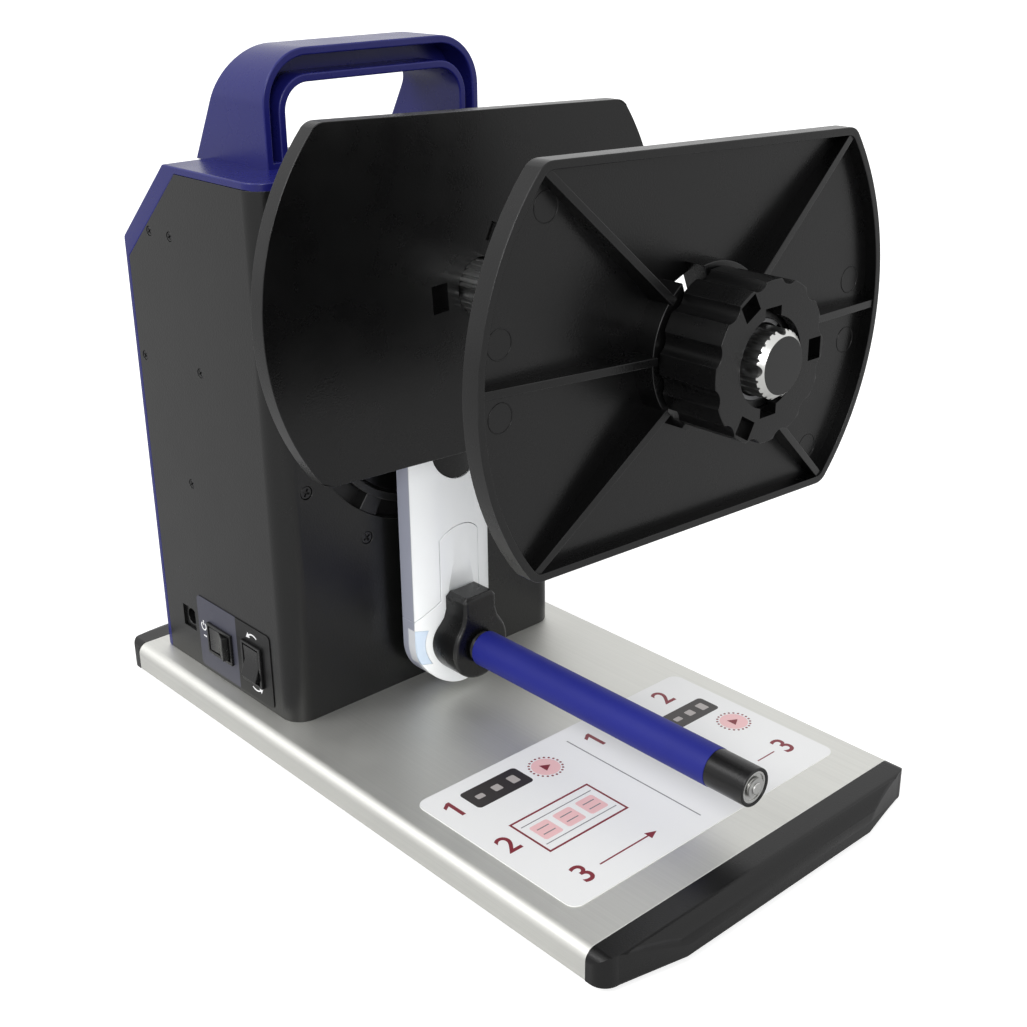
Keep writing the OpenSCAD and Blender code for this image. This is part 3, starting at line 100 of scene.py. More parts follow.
def sums(tree, operation, first, second, clamp=False):
    return put(tree, "ShaderNodeMath", {0: first, 1: second}, operation=operation, use_clamp=clamp).outputs[0]


def newTree(name, kind, inputs, outputs):
    tree = bpy.data.node_groups.new(name, kind)
    for label, form, *value in inputs:
        socket = tree.interface.new_socket(label, in_out="INPUT", socket_type="NodeSocket" + form)
        if value:
            socket.default_value = value[0]
    for label, form in outputs:
        tree.interface.new_socket(label, in_out="OUTPUT", socket_type="NodeSocket" + form)
    ins = tree.nodes.new("NodeGroupInput").outputs
    outs = tree.nodes.new("NodeGroupOutput").inputs
    return tree, ins, outs


def newGroup(name, inputs, outputs):
    return newTree(name, "ShaderNodeTree", inputs, outputs)


def groupIn(tree, group, sockets):
    return put(tree, "ShaderNodeGroup", sockets, node_tree=group).outputs


def objectPoint(tree):
    return put(tree, "ShaderNodeTexCoord").outputs["Object"]


def depthIn(tree):
    return put(tree, "ShaderNodeSeparateXYZ", {"Vector": objectPoint(tree)}).outputs["Y"]


# shader groups that several finishes share
midGrey = (0.5, 0.5, 0.5, 1)
noiseMiddle, noiseGain = 0.5, 4.0       # noise keeps near its middle, the gain spreads it to about one

softTone, ins, outs = newGroup("softTone", [
    ("Color", "Color", midGrey), ("Scale", "Float", 12.0), ("Depth", "Float", 0.1)], [("Color", "Color")])
cloud = put(softTone, "ShaderNodeTexNoise", {"Vector": objectPoint(softTone), "Scale": ins["Scale"],
                                            "Detail": 4.0, "Roughness": 0.55})
swing = put(softTone, "ShaderNodeMapRange", {"Value": cloud.outputs["Fac"], "From Min": 0.3, "From Max": 0.7,
                                             "To Min": sums(softTone, "SUBTRACT", 1.0, ins["Depth"]),
                                             "To Max": sums(softTone, "ADD", 1.0, ins["Depth"])})
tinted = put(softTone, "ShaderNodeHueSaturation", {"Color": ins["Color"], "Value": swing.outputs[0]})
softTone.links.new(tinted.outputs[0], outs["Color"])

fineGrain, ins, outs = newGroup("fineGrain", [
    ("Scale", "Float", 1500.0), ("Rough", "Float", 0.5), ("Spread", "Float", 0.05)],
    [("Height", "Float"), ("Rough", "Float")])
point = objectPoint(fineGrain)
pits = put(fineGrain, "ShaderNodeTexVoronoi", {"Vector": point, "Scale": ins["Scale"]})
dust = put(fineGrain, "ShaderNodeTexNoise", {"Vector": point, "Scale": ins["Scale"], "Detail": 2.0})
patch = put(fineGrain, "ShaderNodeTexNoise", {"Vector": point, "Scale": 45.0, "Detail": 5.0, "Roughness": 0.6})
height = sums(fineGrain, "ADD", pits.outputs["Distance"], dust.outputs["Fac"])
away = sums(fineGrain, "SUBTRACT", patch.outputs["Fac"], noiseMiddle)
swing = sums(fineGrain, "MULTIPLY", away, sums(fineGrain, "MULTIPLY", ins["Spread"], noiseGain))
fineGrain.links.new(height, outs["Height"])
fineGrain.links.new(sums(fineGrain, "ADD", ins["Rough"], swing, True), outs["Rough"])

edgeRub, ins, outs = newGroup("edgeRub", [
    ("Color", "Color", midGrey), ("Rubbed", "Color", (0.8, 0.8, 0.8, 1)), ("Amount", "Float", 0.3)],
    [("Color", "Color")])
rim = put(edgeRub, "ShaderNodeAttribute", attribute_name="edge", attribute_type="GEOMETRY")
chance = put(edgeRub, "ShaderNodeTexNoise", {"Vector": objectPoint(edgeRub), "Scale": 130.0, "Detail": 4.0})
chosen = put(edgeRub, "ShaderNodeMapRange", {"Value": chance.outputs["Fac"], "From Min": 0.36, "From Max": 0.62})
mask = sums(edgeRub, "MULTIPLY", sums(edgeRub, "MULTIPLY", rim.outputs["Fac"], chosen.outputs[0]), ins["Amount"])
edgeRub.links.new(blendColour(edgeRub, mask, ins["Color"], ins["Rubbed"]), outs["Color"])

drawLines, ins, outs = newGroup("drawLines", [
    ("Stretch", "Vector", (900.0, 8.0, 900.0)), ("Color", "Color", midGrey), ("Depth", "Float", 0.08)],
    [("Color", "Color")])
drawn = put(drawLines, "ShaderNodeVectorMath", {0: objectPoint(drawLines), 1: ins["Stretch"]}, operation="MULTIPLY")
lines = put(drawLines, "ShaderNodeTexNoise", {"Vector": drawn.outputs[0], "Scale": 1.0, "Detail": 3.0})
away = sums(drawLines, "SUBTRACT", lines.outputs["Fac"], noiseMiddle)
swing = sums(drawLines, "MULTIPLY", sums(drawLines, "MULTIPLY", away, ins["Depth"]), noiseGain)
lit = put(drawLines, "ShaderNodeHueSaturation", {"Color": ins["Color"], "Value": sums(drawLines, "ADD", swing, 1.0)})
drawLines.links.new(lit.outputs[0], outs["Color"])
print("shader groups built")

# finishes: one row for each material slot of the record, over what a plain finish has
plainFinish = {"grain": 1500.0, "lift": 0.2, "reach": 0.08 * mm, "spread": 0.05, "cloud": 14.0, "drift": 0.08,
               "lineDepth": 0.06, "rub": 0.35, "metal": 0.0, "specular": 0.5, "coat": 0.0, "coatRough": 0.2}


def newFinish(name, changes):
    row = {**plainFinish, **changes}
    material = bpy.data.materials.new(name)
    material.use_nodes = True
    tree = material.node_tree
    shader = tree.nodes["Principled BSDF"]
    colour = (*row["colour"], 1)
    if "halves" in row:         # two tones, parted along the depth of the object
        depth, tone = row["halves"]
        colour = blendColour(tree, sums(tree, "GREATER_THAN", depthIn(tree), depth), colour, (*tone, 1))
    colour = groupIn(tree, softTone, {"Color": colour, "Scale": row["cloud"], "Depth": row["drift"]})["Color"]
    if "lines" in row:
        colour = groupIn(tree, drawLines, {"Stretch": row["lines"], "Color": colour,
                                           "Depth": row["lineDepth"]})["Color"]
    if "rubbed" in row:
        colour = groupIn(tree, edgeRub, {"Color": colour, "Rubbed": (*row["rubbed"], 1),
                                         "Amount": row["rub"]})["Color"]
    metal = row["metal"]
    if "tip" in row:            # a painted highlight on the chamfer and a painted dark reflection on the end face, in front of the given depths
        depth = depthIn(tree)
        atPaintedHighlightNose, atPaintedDarkTip = (sums(tree, "LESS_THAN", depth, row[key][0]) for key in ("paintedHighlightNose", "tip"))
        colour = blendColour(tree, atPaintedHighlightNose, colour, (*row["paintedHighlightNose"][1], 1))
        colour = blendColour(tree, atPaintedDarkTip, colour, (*row["tip"][1], 1))
        metal = sums(tree, "MULTIPLY", sums(tree, "SUBTRACT", 1.0, atPaintedDarkTip), metal)
    grain = groupIn(tree, fineGrain, {"Scale": row["grain"], "Rough": row["rough"], "Spread": row["spread"]})
    lift = put(tree, "ShaderNodeBump", {"Strength": row["lift"], "Distance": row["reach"],
                                        "Height": grain["Height"]})
    for key, value in (("Base Color", colour), ("Metallic", metal), ("Roughness", grain["Rough"]),
                       ("Normal", lift.outputs[0]), ("Coat Weight", row["coat"]),
                       ("Coat Roughness", row["coatRough"]), ("Specular IOR Level", row["specular"])):
        plug(tree, shader.inputs[key], value)
    return material


finishes = {
    "anodised": {"colour": (0.72, 0.72, 0.688), "rough": 0.53, "metal": 0.97, "grain": 3800.0, "lift": 0.14,
                 "spread": 0.03, "drift": 0.025, "cloud": 9.0, "lines": (1400.0, 5.0, 1400.0),
                 "lineDepth": 0.03, "rubbed": (0.88, 0.88, 0.87)},
    "black_plastic": {"colour": (0.002, 0.002, 0.0021), "rough": 0.28, "specular": 0.4, "grain": 1700.0,
                      "drift": 0.16, "cloud": 11.0, "rubbed": (0.02, 0.02, 0.021), "rub": 0.4},
    "housing": {"colour": (0.0045, 0.0046, 0.0045), "rough": 0.3, "specular": 0.45, "grain": 1300.0, "lift": 0.3,
                "spread": 0.04, "rubbed": (0.04, 0.04, 0.04), "rub": 0.3},
    "blue_plastic": {"colour": (0.0105, 0.0115, 0.125), "rough": 0.27, "specular": 0.36, "grain": 2100.0,
                     "lift": 0.14, "drift": 0.06, "rubbed": (0.03, 0.034, 0.19), "rub": 0.4},
    "rubber_foot": {"colour": (0.012, 0.012, 0.012), "rough": 0.8, "grain": 900.0, "lift": 0.4},
    "label": {"colour": (0.81, 0.815, 0.815), "rough": 0.34, "grain": 2600.0, "lift": 0.02, "drift": 0.004,
              "spread": 0.003},
    "panel": {"colour": (0.004, 0.004, 0.0042), "halves": (0.0670, (0.052, 0.053, 0.074)), "rough": 0.4,
              "specular": 0.36, "grain": 2400.0, "lift": 0.12},
    "switch_black": {"colour": (0.005, 0.005, 0.0052), "rough": 0.28, "grain": 2200.0, "lift": 0.12,
                     "rubbed": (0.03, 0.03, 0.03)},
    "die_cast": {"colour": (0.006, 0.0061, 0.0063), "rough": 0.4, "grain": 1100.0, "lift": 0.3,
                 "rubbed": (0.05, 0.05, 0.05)},
    "plate_steel": {"colour": (0.5, 0.5, 0.49), "rough": 0.35, "metal": 1.0, "lines": (1200.0, 20.0, 1200.0),
                    "lift": 0.1},
    "screw_steel": {"colour": (0.55, 0.55, 0.54), "rough": 0.3, "metal": 1.0, "grain": 4000.0, "lift": 0.08},
    "screw_black": {"colour": (0.008, 0.008, 0.0085), "rough": 0.4, "grain": 3000.0, "lift": 0.15},
    "bright_steel": {"colour": (0.6, 0.6, 0.585), "rough": 0.26, "metal": 1.0, "grain": 5000.0, "lift": 0.05,
                     "rubbed": (0.8, 0.8, 0.8)},
    # the spindle's nose colour is a painted highlight, and its tip colour is a painted dark reflection on the end
    # face
    "spindle_metal": {"colour": (0.45, 0.455, 0.45), "rough": 0.3, "metal": 1.0, "lines": (700.0, 700.0, 700.0),
                      "lineDepth": 0.08, "grain": 2500.0, "lift": 0.12, "rubbed": (0.85, 0.85, 0.83), "rub": 0.6,
                      "tip": (-0.12896, (0.006, 0.006, 0.006)), "paintedHighlightNose": (-0.1272, (0.7, 0.7, 0.68))},
    "collet_metal": {"colour": (0.2, 0.2, 0.205), "rough": 0.38, "metal": 1.0, "grain": 3000.0, "lift": 0.1},
    "motor_case": {"colour": (0.45, 0.45, 0.46), "rough": 0.3, "metal": 1.0, "grain": 3500.0, "lift": 0.08},
    "brass": {"colour": (0.6, 0.42, 0.16), "rough": 0.3, "metal": 1.0, "grain": 3500.0, "lift": 0.08},
    "gear_plastic": {"colour": (0.72, 0.7, 0.64), "rough": 0.4, "grain": 2500.0, "lift": 0.08},
    "board": {"colour": (0.015, 0.11, 0.04), "rough": 0.35, "lines": (260.0, 260.0, 900.0), "lineDepth": 0.3},
    "lead": {"colour": (0.16, 0.012, 0.012), "rough": 0.45, "grain": 2500.0, "lift": 0.08},
    "arm_silver": {"colour": (0.95, 0.97, 0.98), "halves": (0.0187, (0.46, 0.48, 0.58)), "rough": 0.34,
                   "metal": 0.2, "grain": 3600.0, "lift": 0.06, "drift": 0.02, "rubbed": (0.9, 0.91, 0.94)},
    "arm_lens": {"colour": (0.66, 0.78, 0.93), "halves": (0.0184, (0.84, 0.86, 0.9)), "rough": 0.16,
                 "grain": 2500.0, "lift": 0.03, "coat": 0.4},
    "roller_blue": {"colour": (0.006, 0.011, 0.205), "rough": 0.6, "lift": 0.35, "drift": 0.07, "specular": 0.4},
}
paint = {slot: newFinish(slot + "_finish", row) for slot, row in finishes.items()}
for node, thing in nodes.items():
    thing.data.materials.clear()
    thing.data.materials.append(paint[slotOf[node]])
print("finishes:", len(paint))


# piece helpers
def show(name, mesh):
    thing = bpy.data.objects.new(name, mesh)
    bpy.context.scene.collection.objects.link(thing)
    return thing


def belongs(thing, body, slot, *replaced):
    if replaced:
        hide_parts(*replaced)
    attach(thing, body)


def newMeshOf(thing):
    return bpy.data.meshes.new_from_object(thing.evaluated_get(bpy.context.evaluated_depsgraph_get()))


def evaluated(thing):
    mesh = newMeshOf(thing)
    thing.modifiers.clear()
    old, thing.data = thing.data, mesh
    bpy.data.meshes.remove(old)
    mesh.name = thing.name
    return mesh


def smoothed(thing, sharp):
    shape = bmesh.new()
    shape.from_mesh(thing.data)
    bmesh.ops.dissolve_degenerate(shape, dist=softening["speck"] * mm, edges=shape.edges)
    for face in shape.faces:
        face.smooth = True
    for edge in shape.edges:
        edge.smooth = edge.is_manifold and edge.calc_face_angle(0.0) < math.radians(sharp)
    shape.to_mesh(thing.data)
    shape.free()
    weigh = thing.modifiers.new("weigh", "WEIGHTED_NORMAL")
    weigh.keep_sharp, weigh.weight = True, 100
    evaluated(thing)


# bevelled copies of the machined and moulded pieces: millimetres and degrees
softening = {"merge": 0.002, "flat": 0.3, "above": 32.0, "segments": 3, "sharp": 40.0, "speck": 0.0001}
splitFaces = ("lock_knob", "inner_flange", "outer_flange")
spindleHeight = 171.5
coverSoft = {"edges": ((88.2, 209.2, 0.25), (121.1, 179.8, 0.7)), "near": 1.0, "other": 0.14,
             "inside": (64.0, 119.0, 207.0)}
knobSoft = {"rim": 20.0, "lean": 0.3}
hubSoft = {"reach": 27.0, "front": -97.0}
capJoint, bracketFront = 137.5, 1.6


def coverWeight(x, y, z, lean):
    for depth, height, weight in coverSoft["edges"]:
        if math.hypot(y - depth, z - height) < coverSoft["near"]:
            return weight
    inside = all(value < limit for value, limit in zip((abs(x), y, z), coverSoft["inside"]))
    return 0.0 if inside else coverSoft["other"]


def knobWeight(x, y, z, lean):
    out = Vector((x, 0, z - spindleHeight))
    return float(out.length > knobSoft["rim"] and lean.dot(out) > knobSoft["lean"] * out.length)


def flangeWeight(x, y, z, lean):
    return float(math.hypot(x, z - spindleHeight) > hubSoft["reach"] or y < hubSoft["front"])


def capWeight(x, y, z, lean):
    return float(abs(y) > capJoint)


def bracketWeight(x, y, z, lean):
    return float(y < bracketFront)


edgeWeights = {"rear_cover": coverWeight, "outer_flange": flangeWeight, "inner_flange": flangeWeight,
               "roller_bracket": bracketWeight, "front_end_cap": capWeight, "rear_end_cap": capWeight,
               "lock_knob": knobWeight}


def mergedCopy(node):
    shape = bmesh.new()
    shape.from_mesh(nodes[node].data)
    bmesh.ops.remove_doubles(shape, verts=shape.verts, dist=softening["merge"] * mm)
    bmesh.ops.dissolve_limit(shape, angle_limit=math.radians(softening["flat"]), verts=shape.verts,
                             edges=shape.edges)
    if node in splitFaces:
        wide = [face for face in shape.faces if len(face.verts) > 4]
        bmesh.ops.triangulate(shape, faces=wide, ngon_method="BEAUTY")
    mesh = bpy.data.meshes.new(node)
    shape.to_mesh(mesh)
    shape.free()
    if "custom_normal" in mesh.attributes:
        mesh.attributes.remove(mesh.attributes["custom_normal"])
    mesh.materials.clear()
    return mesh


def weighEdges(mesh, weightAt):
    shape = bmesh.new()
    shape.from_mesh(mesh)
    layer = shape.edges.layers.float.new("bevel_weight_edge")
    above = math.radians(softening["above"])
    for edge in shape.edges:
        if edge.is_manifold and edge.is_convex and edge.calc_face_angle(0.0) > above:
            middle = (edge.verts[0].co + edge.verts[1].co) / 2 / mm
            lean = edge.link_faces[0].normal + edge.link_faces[1].normal
            edge[layer] = weightAt(*middle, lean) if weightAt else 1.0
    shape.to_mesh(mesh)
    shape.free()


def softened(node, width):
    mesh = mergedCopy(node)
    finish = paint[slotOf[node]]
    for slot in range(2):               # the second slot marks the new faces
        mesh.materials.append(finish)
    weighEdges(mesh, edgeWeights.get(node))
    thing = show(node + "_form", mesh)
    bevel = thing.modifiers.new("bevel", "BEVEL")
    bevel.width, bevel.segments = width * mm, softening["segments"]
    bevel.limit_method, bevel.use_clamp_overlap, bevel.loop_slide = "WEIGHT", False, True
    bevel.material = 1
    mesh = evaluated(thing)
    mesh.attributes.remove(mesh.attributes["bevel_weight_edge"])
    marks = [float(polygon.material_index) for polygon in mesh.polygons]
    mesh.materials.clear()
    mesh.materials.append(finish)
    for polygon in mesh.polygons:
        polygon.material_index = 0
    mesh.attributes.new("edge", "FLOAT", "FACE").data.foreach_set("value", marks)
    smoothed(thing, softening["sharp"])
    belongs(thing, bodyOf[node], slotOf[node], node)


roundings = {
    "base_plate": 0.35, "front_end_cap": 0.7, "rear_end_cap": 0.7, "rubber_feet": 0.5, "tower_housing": 0.15,
    "rear_cover": 4.0, "switch_panel": 0.12, "power_switch_body": 0.2, "direction_switch_body": 0.2,
    "power_rocker": 0.3, "direction_rocker": 0.3, "power_inlet": 0.25, "pivot_plate": 0.35, "inner_flange": 0.25,
    "outer_flange": 0.25, "flange_collar": 0.3, "lock_knob": 0.12, "spindle_shaft": 0.04, "clamp_collet": 0.2,
    "arm_upper_cover": 0.12, "arm_lower_cover": 0.12, "arm_window": 0.1, "arm_screw_cap": 0.08, "arm_disc": 0.4,
    "roller_bracket": 1.6, "roller_tube": 0.15, "roller_sleeve": 0.25, "roller_end_cap": 0.25, "roller_axle": 0.3,
    "roller_bearings": 0.12,
}
for node, width in roundings.items():
    softened(node, width)
print("bevelled pieces:", len(roundings))


# repeated details, made with geometry nodes
def newNodes(name, inputs):
    return newTree(name, "GeometryNodeTree", [("Geometry", "Geometry"), *inputs, ("Finish", "Material")],
                   [("Geometry", "Geometry")])


def onAims(tree, ins, shape, twist):
    aim = put(tree, "GeometryNodeInputNamedAttribute", {"Name": "aim"}, data_type="FLOAT_VECTOR")
    facing = put(tree, "FunctionNodeAlignRotationToVector", {"Vector": aim.outputs["Attribute"]}, axis="Z")
    chance = put(tree, "FunctionNodeRandomValue", {2: 0.0, 3: twist, "Seed": ins["Seed"]}, data_type="FLOAT")
    spin = put(tree, "FunctionNodeAxisAngleToRotation", {"Axis": (0, 0, 1), "Angle": chance.outputs[1]})
    turned = put(tree, "FunctionNodeRotateRotation", {"Rotation": facing.outputs[0], "Rotate By": spin.outputs[0]},
                 rotation_space="LOCAL")
    return put(tree, "GeometryNodeInstanceOnPoints", {"Points": ins["Geometry"], "Instance": shape,
                                                      "Rotation": turned.outputs[0]}).outputs[0]


def endTree(tree, ins, outs, shape):
    real = put(tree, "GeometryNodeRealizeInstances", {"Geometry": shape})
    done = put(tree, "GeometryNodeSetMaterial", {"Geometry": real.outputs[0], "Material": ins["Finish"]})
    tree.links.new(done.outputs[0], outs["Geometry"])


def raised(tree, shape, height):
    up = put(tree, "ShaderNodeCombineXYZ", {"Z": height})
    return put(tree, "GeometryNodeTransform", {"Geometry": shape, "Translation": up.outputs[0]}).outputs[0]


def grown(name, tree, places, settings):
    mesh = bpy.data.meshes.new(name)
    mesh.from_pydata([[value * mm for value in place] for place, aim in places], [], [])
    aims = mesh.attributes.new("aim", "FLOAT_VECTOR", "POINT")
    aims.data.foreach_set("vector", [value for place, aim in places for value in aim])
    thing = show(name, mesh)
    modifier = thing.modifiers.new(name, "NODES")
    modifier.node_group = tree
    for item in tree.interface.items_tree:
        if item.in_out == "INPUT" and item.name in settings:
            modifier[item.identifier] = settings[item.name]
    evaluated(thing)
    return thing


# a cross-head screw: a drum with a tapered crown on a shank, cut by two slots
crossScrew, ins, outs = newNodes("crossScrew", [
    ("Head Radius", "Float", 1.8 * mm), ("Head Height", "Float", 1.0 * mm), ("Shank Radius", "Float", 1.2 * mm),
    ("Shank Length", "Float", 3.0 * mm), ("Slot Width", "Float", 0.55 * mm), ("Slot Length", "Float", 2.2 * mm),
    ("Slot Depth", "Float", 0.6 * mm), ("Seed", "Int", 4)])
headShape = {"brim": 0.7, "crown": 0.85, "overlap": 0.3, "sharp": 30.0}
brim = sums(crossScrew, "MULTIPLY", ins["Head Height"], headShape["brim"])
drum = put(crossScrew, "GeometryNodeMeshCylinder", {"Vertices": 32, "Radius": ins["Head Radius"], "Depth": brim})
crown = put(crossScrew, "GeometryNodeMeshCone", {
    "Vertices": 32, "Radius Top": sums(crossScrew, "MULTIPLY", ins["Head Radius"], headShape["crown"]),
    "Radius Bottom": ins["Head Radius"], "Depth": sums(crossScrew, "SUBTRACT", ins["Head Height"], brim)})
shank = put(crossScrew, "GeometryNodeMeshCylinder", {"Vertices": 24, "Radius": ins["Shank Radius"],
                                                     "Depth": ins["Shank Length"]})
sunk = sums(crossScrew, "SUBTRACT", sums(crossScrew, "MULTIPLY", brim, headShape["overlap"]),
            sums(crossScrew, "MULTIPLY", ins["Shank Length"], 0.5))
solid = put(crossScrew, "GeometryNodeMeshBoolean", operation="UNION", solver="EXACT")
for part in (raised(crossScrew, drum.outputs[0], sums(crossScrew, "MULTIPLY", brim, 0.5)),
             raised(crossScrew, crown.outputs[0], brim), raised(crossScrew, shank.outputs[0], sunk)):
    crossScrew.links.new(part, solid.inputs[1])
slotted = put(crossScrew, "GeometryNodeMeshBoolean", {"Mesh 1": solid.outputs[0]}, operation="DIFFERENCE",
              solver="EXACT")
deep = sums(crossScrew, "MULTIPLY", ins["Slot Depth"], 2.0)
for long, short in (("X", "Y"), ("Y", "X")):
    size = put(crossScrew, "ShaderNodeCombineXYZ", {long: ins["Slot Length"], short: ins["Slot Width"], "Z": deep})
    key = put(crossScrew, "GeometryNodeMeshCube", {"Size": size.outputs[0]})
    crossScrew.links.new(raised(crossScrew, key.outputs[0], ins["Head Height"]), slotted.inputs[1])
endTree(crossScrew, ins, outs, onAims(crossScrew, ins, slotted.outputs[0], math.pi))


def driven(node, places, screw):
    sizes = {"Head Radius": screw["head"], "Head Height": screw["height"], "Shank Radius": screw["shank"],
             "Shank Length": screw["length"], "Slot Width": screw["slot"][0], "Slot Length": screw["slot"][1],
             "Slot Depth": screw["slot"][2]}
    settings = {name: size * mm for name, size in sizes.items()}
    thing = grown(node + "_form", crossScrew, places, {**settings, "Finish": paint[slotOf[node]]})
    smoothed(thing, headShape["sharp"])
    belongs(thing, "base", slotOf[node], node)


sideScrews = {"seat": 63.8, "places": ((101.8, 184.3), (88.0, 184.3), (114.7, 136.0), (75.7, 137.6), (89.7, 91.6)),
              "head": 1.8, "height": 1.0, "shank": 1.2, "length": 3.2, "slot": (0.55, 2.2, 0.6)}
driven("side_screws", [((side * sideScrews["seat"], y, z), (side, 0, 0))
                       for side in (-1, 1) for y, z in sideScrews["places"]], sideScrews)

plateScrews = {"seat": 32.5, "places": ((28.8, 185.7), (53.6, 161.3), (53.6, 101.9), (28.8, 77.5)),
               "head": 2.5, "height": 1.4, "shank": 1.5, "length": 4.4, "slot": (0.8, 3.1, 0.85)}
driven("pivot_plate_screws", [((side * x, plateScrews["seat"], z), (0, -1, 0))
                              for side in (-1, 1) for x, z in plateScrews["places"]], plateScrews)

# round marks of the mould's ejector pins
moldRing, ins, outs = newNodes("moldRing", [("Radius", "Float", 4.2 * mm), ("Bead", "Float", 0.16 * mm),
                                            ("Seed", "Int", 1)])
loop = put(moldRing, "GeometryNodeCurvePrimitiveCircle", {"Resolution": 40, "Radius": ins["Radius"]})
bead = put(moldRing, "GeometryNodeCurvePrimitiveCircle", {"Resolution": 8, "Radius": ins["Bead"]})
tube = put(moldRing, "GeometryNodeCurveToMesh", {"Curve": loop.outputs[0], "Profile Curve": bead.outputs[0]})
endTree(moldRing, ins, outs, onAims(moldRing, ins, tube.outputs[0], 0.0))

ejectorMarks = {"face": -95.8, "places": ((59.0, 47.5), (75.6, 14.5), (75.6, -5.5)), "sharp": 60.0}
thing = grown("outer_flange_marks", moldRing,
              [((side * x, ejectorMarks["face"], spindleHeight + up * z), (0, -1, 0))
               for side, up in ((-1, 1), (1, -1)) for x, z in ejectorMarks["places"]],
              {"Finish": paint[slotOf["outer_flange"]]})
smoothed(thing, ejectorMarks["sharp"])
belongs(thing, bodyOf["outer_flange"], slotOf["outer_flange"])
print("screws and marks set")

# printed marks on the label and the switch panel: thin closed plates, drawn flat in millimetres
inks = {
    "red": {"colour": (0.2, 0.018, 0.03), "rough": 0.4, "height": 0.03},
    "pink": {"colour": (0.8, 0.5, 0.51), "rough": 0.35, "height": 0.02},
    "grey": {"colour": (0.22, 0.22, 0.23), "rough": 0.4, "height": 0.03},
    "dark": {"colour": (0.028, 0.024, 0.023), "rough": 0.35, "height": 0.03},
    "light": {"colour": (0.4, 0.37, 0.36), "rough": 0.4, "height": 0.04},
    "white": {"colour": (0.85, 0.85, 0.86), "rough": 0.4, "height": 0.03},
}
inkFilm = {"grain": 2600.0, "lift": 0.03, "drift": 0.02}
inkPaint = {ink: newFinish("ink_" + ink, {**row, **inkFilm}) for ink, row in inks.items()}
drawing = {"sunk": 0.02, "merge": 0.001, "cornerSteps": 6, "arrowSteps": 20, "curveSteps": 5, "bolder": 0.14}
digitOne = ((-0.02, -0.5), (0.15, -0.5), (0.15, 0.5), (0.01, 0.5), (-0.25, 0.32), (-0.25, 0.15), (-0.02, 0.29))


def newLayer(ink):
    return {"ink": ink, "shape": bmesh.new(), "top": inks[ink]["height"]}


def plate(layer, outline):
    shape = layer["shape"]
    lower = [shape.verts.new((x * mm, y * mm, -drawing["sunk"] * mm)) for x, y in outline]
    upper = [shape.verts.new((x * mm, y * mm, layer["top"] * mm)) for x, y in outline]
    shape.faces.new(upper)
    shape.faces.new(lower[::-1])
    for k in range(len(outline)):
        after = (k + 1) % len(outline)
        shape.faces.new((lower[k], lower[after], upper[after], upper[k]))


def around(centre, radius, start=0.0, end=360.0, steps=48):
    count = steps if end - start >= 360 else steps + 1
    turns = [math.radians(start + (end - start) * k / steps) for k in range(count)]
    return [(centre[0] + radius * math.cos(turn), centre[1] + radius * math.sin(turn)) for turn in turns]


def bow(layer, centre, radius, width, start, end, steps):
    outer, inner = (around(centre, radius + side * width / 2, start, end, steps) for side in (1, -1))
    plate(layer, outer + inner[::-1])


def slab(layer, centre, width, height, corner=0.0):
    x, y = width / 2 - corner, height / 2 - corner
    outline = []
    for sx, sy, start in ((1, 1, 0), (-1, 1, 90), (-1, -1, 180), (1, -1, 270)):
        spot = (centre[0] + sx * x, centre[1] + sy * y)
        outline += around(spot, corner, start, start + 90, drawing["cornerSteps"]) if corner else [spot]
    plate(layer, outline)


def bentArrow(layer, centre, radius, width, start, end):
    bow(layer, centre, radius, width, start, end, drawing["arrowSteps"])
    turn = math.radians(end)
    point = Vector((centre[0] + radius * math.cos(turn), centre[1] + radius * math.sin(turn)))
    out, along = Vector((math.cos(turn), math.sin(turn))), Vector((-math.sin(turn), math.cos(turn)))
    plate(layer, [point + out * 2 * width, point + along * 4 * width, point - out * 2 * width])


def numeral(layer, text, centre, size):
    curve = bpy.data.curves.new("numeral", "FONT")
    curve.body, curve.size, curve.resolution_u = text, size * mm, drawing["curveSteps"]
    curve.align_x, curve.align_y = "CENTER", "CENTER"
    curve.extrude, curve.offset = (layer["top"] + drawing["sunk"]) / 2 * mm, drawing["bolder"] * mm
    thing = show("numeral", curve)
    mesh = newMeshOf(thing)
    mesh.transform(Matrix.Translation((centre[0] * mm, centre[1] * mm, (layer["top"] - drawing["sunk"]) / 2 * mm)))
    layer["shape"].from_mesh(mesh)
    bpy.data.objects.remove(thing)
    bpy.data.curves.remove(curve)
    bpy.data.meshes.remove(mesh)


def printed(name, layer, place, body, slot):
    shape = layer["shape"]
    bmesh.ops.remove_doubles(shape, verts=shape.verts, dist=drawing["merge"] * mm)
    mesh = bpy.data.meshes.new(name)
    shape.to_mesh(mesh)
    shape.free()
    mesh.materials.clear()
    mesh.materials.append(inkPaint[layer["ink"]])
    for polygon in mesh.polygons:
        polygon.material_index = 0
    mesh.transform(place)
    belongs(show(name, mesh), body, slot)


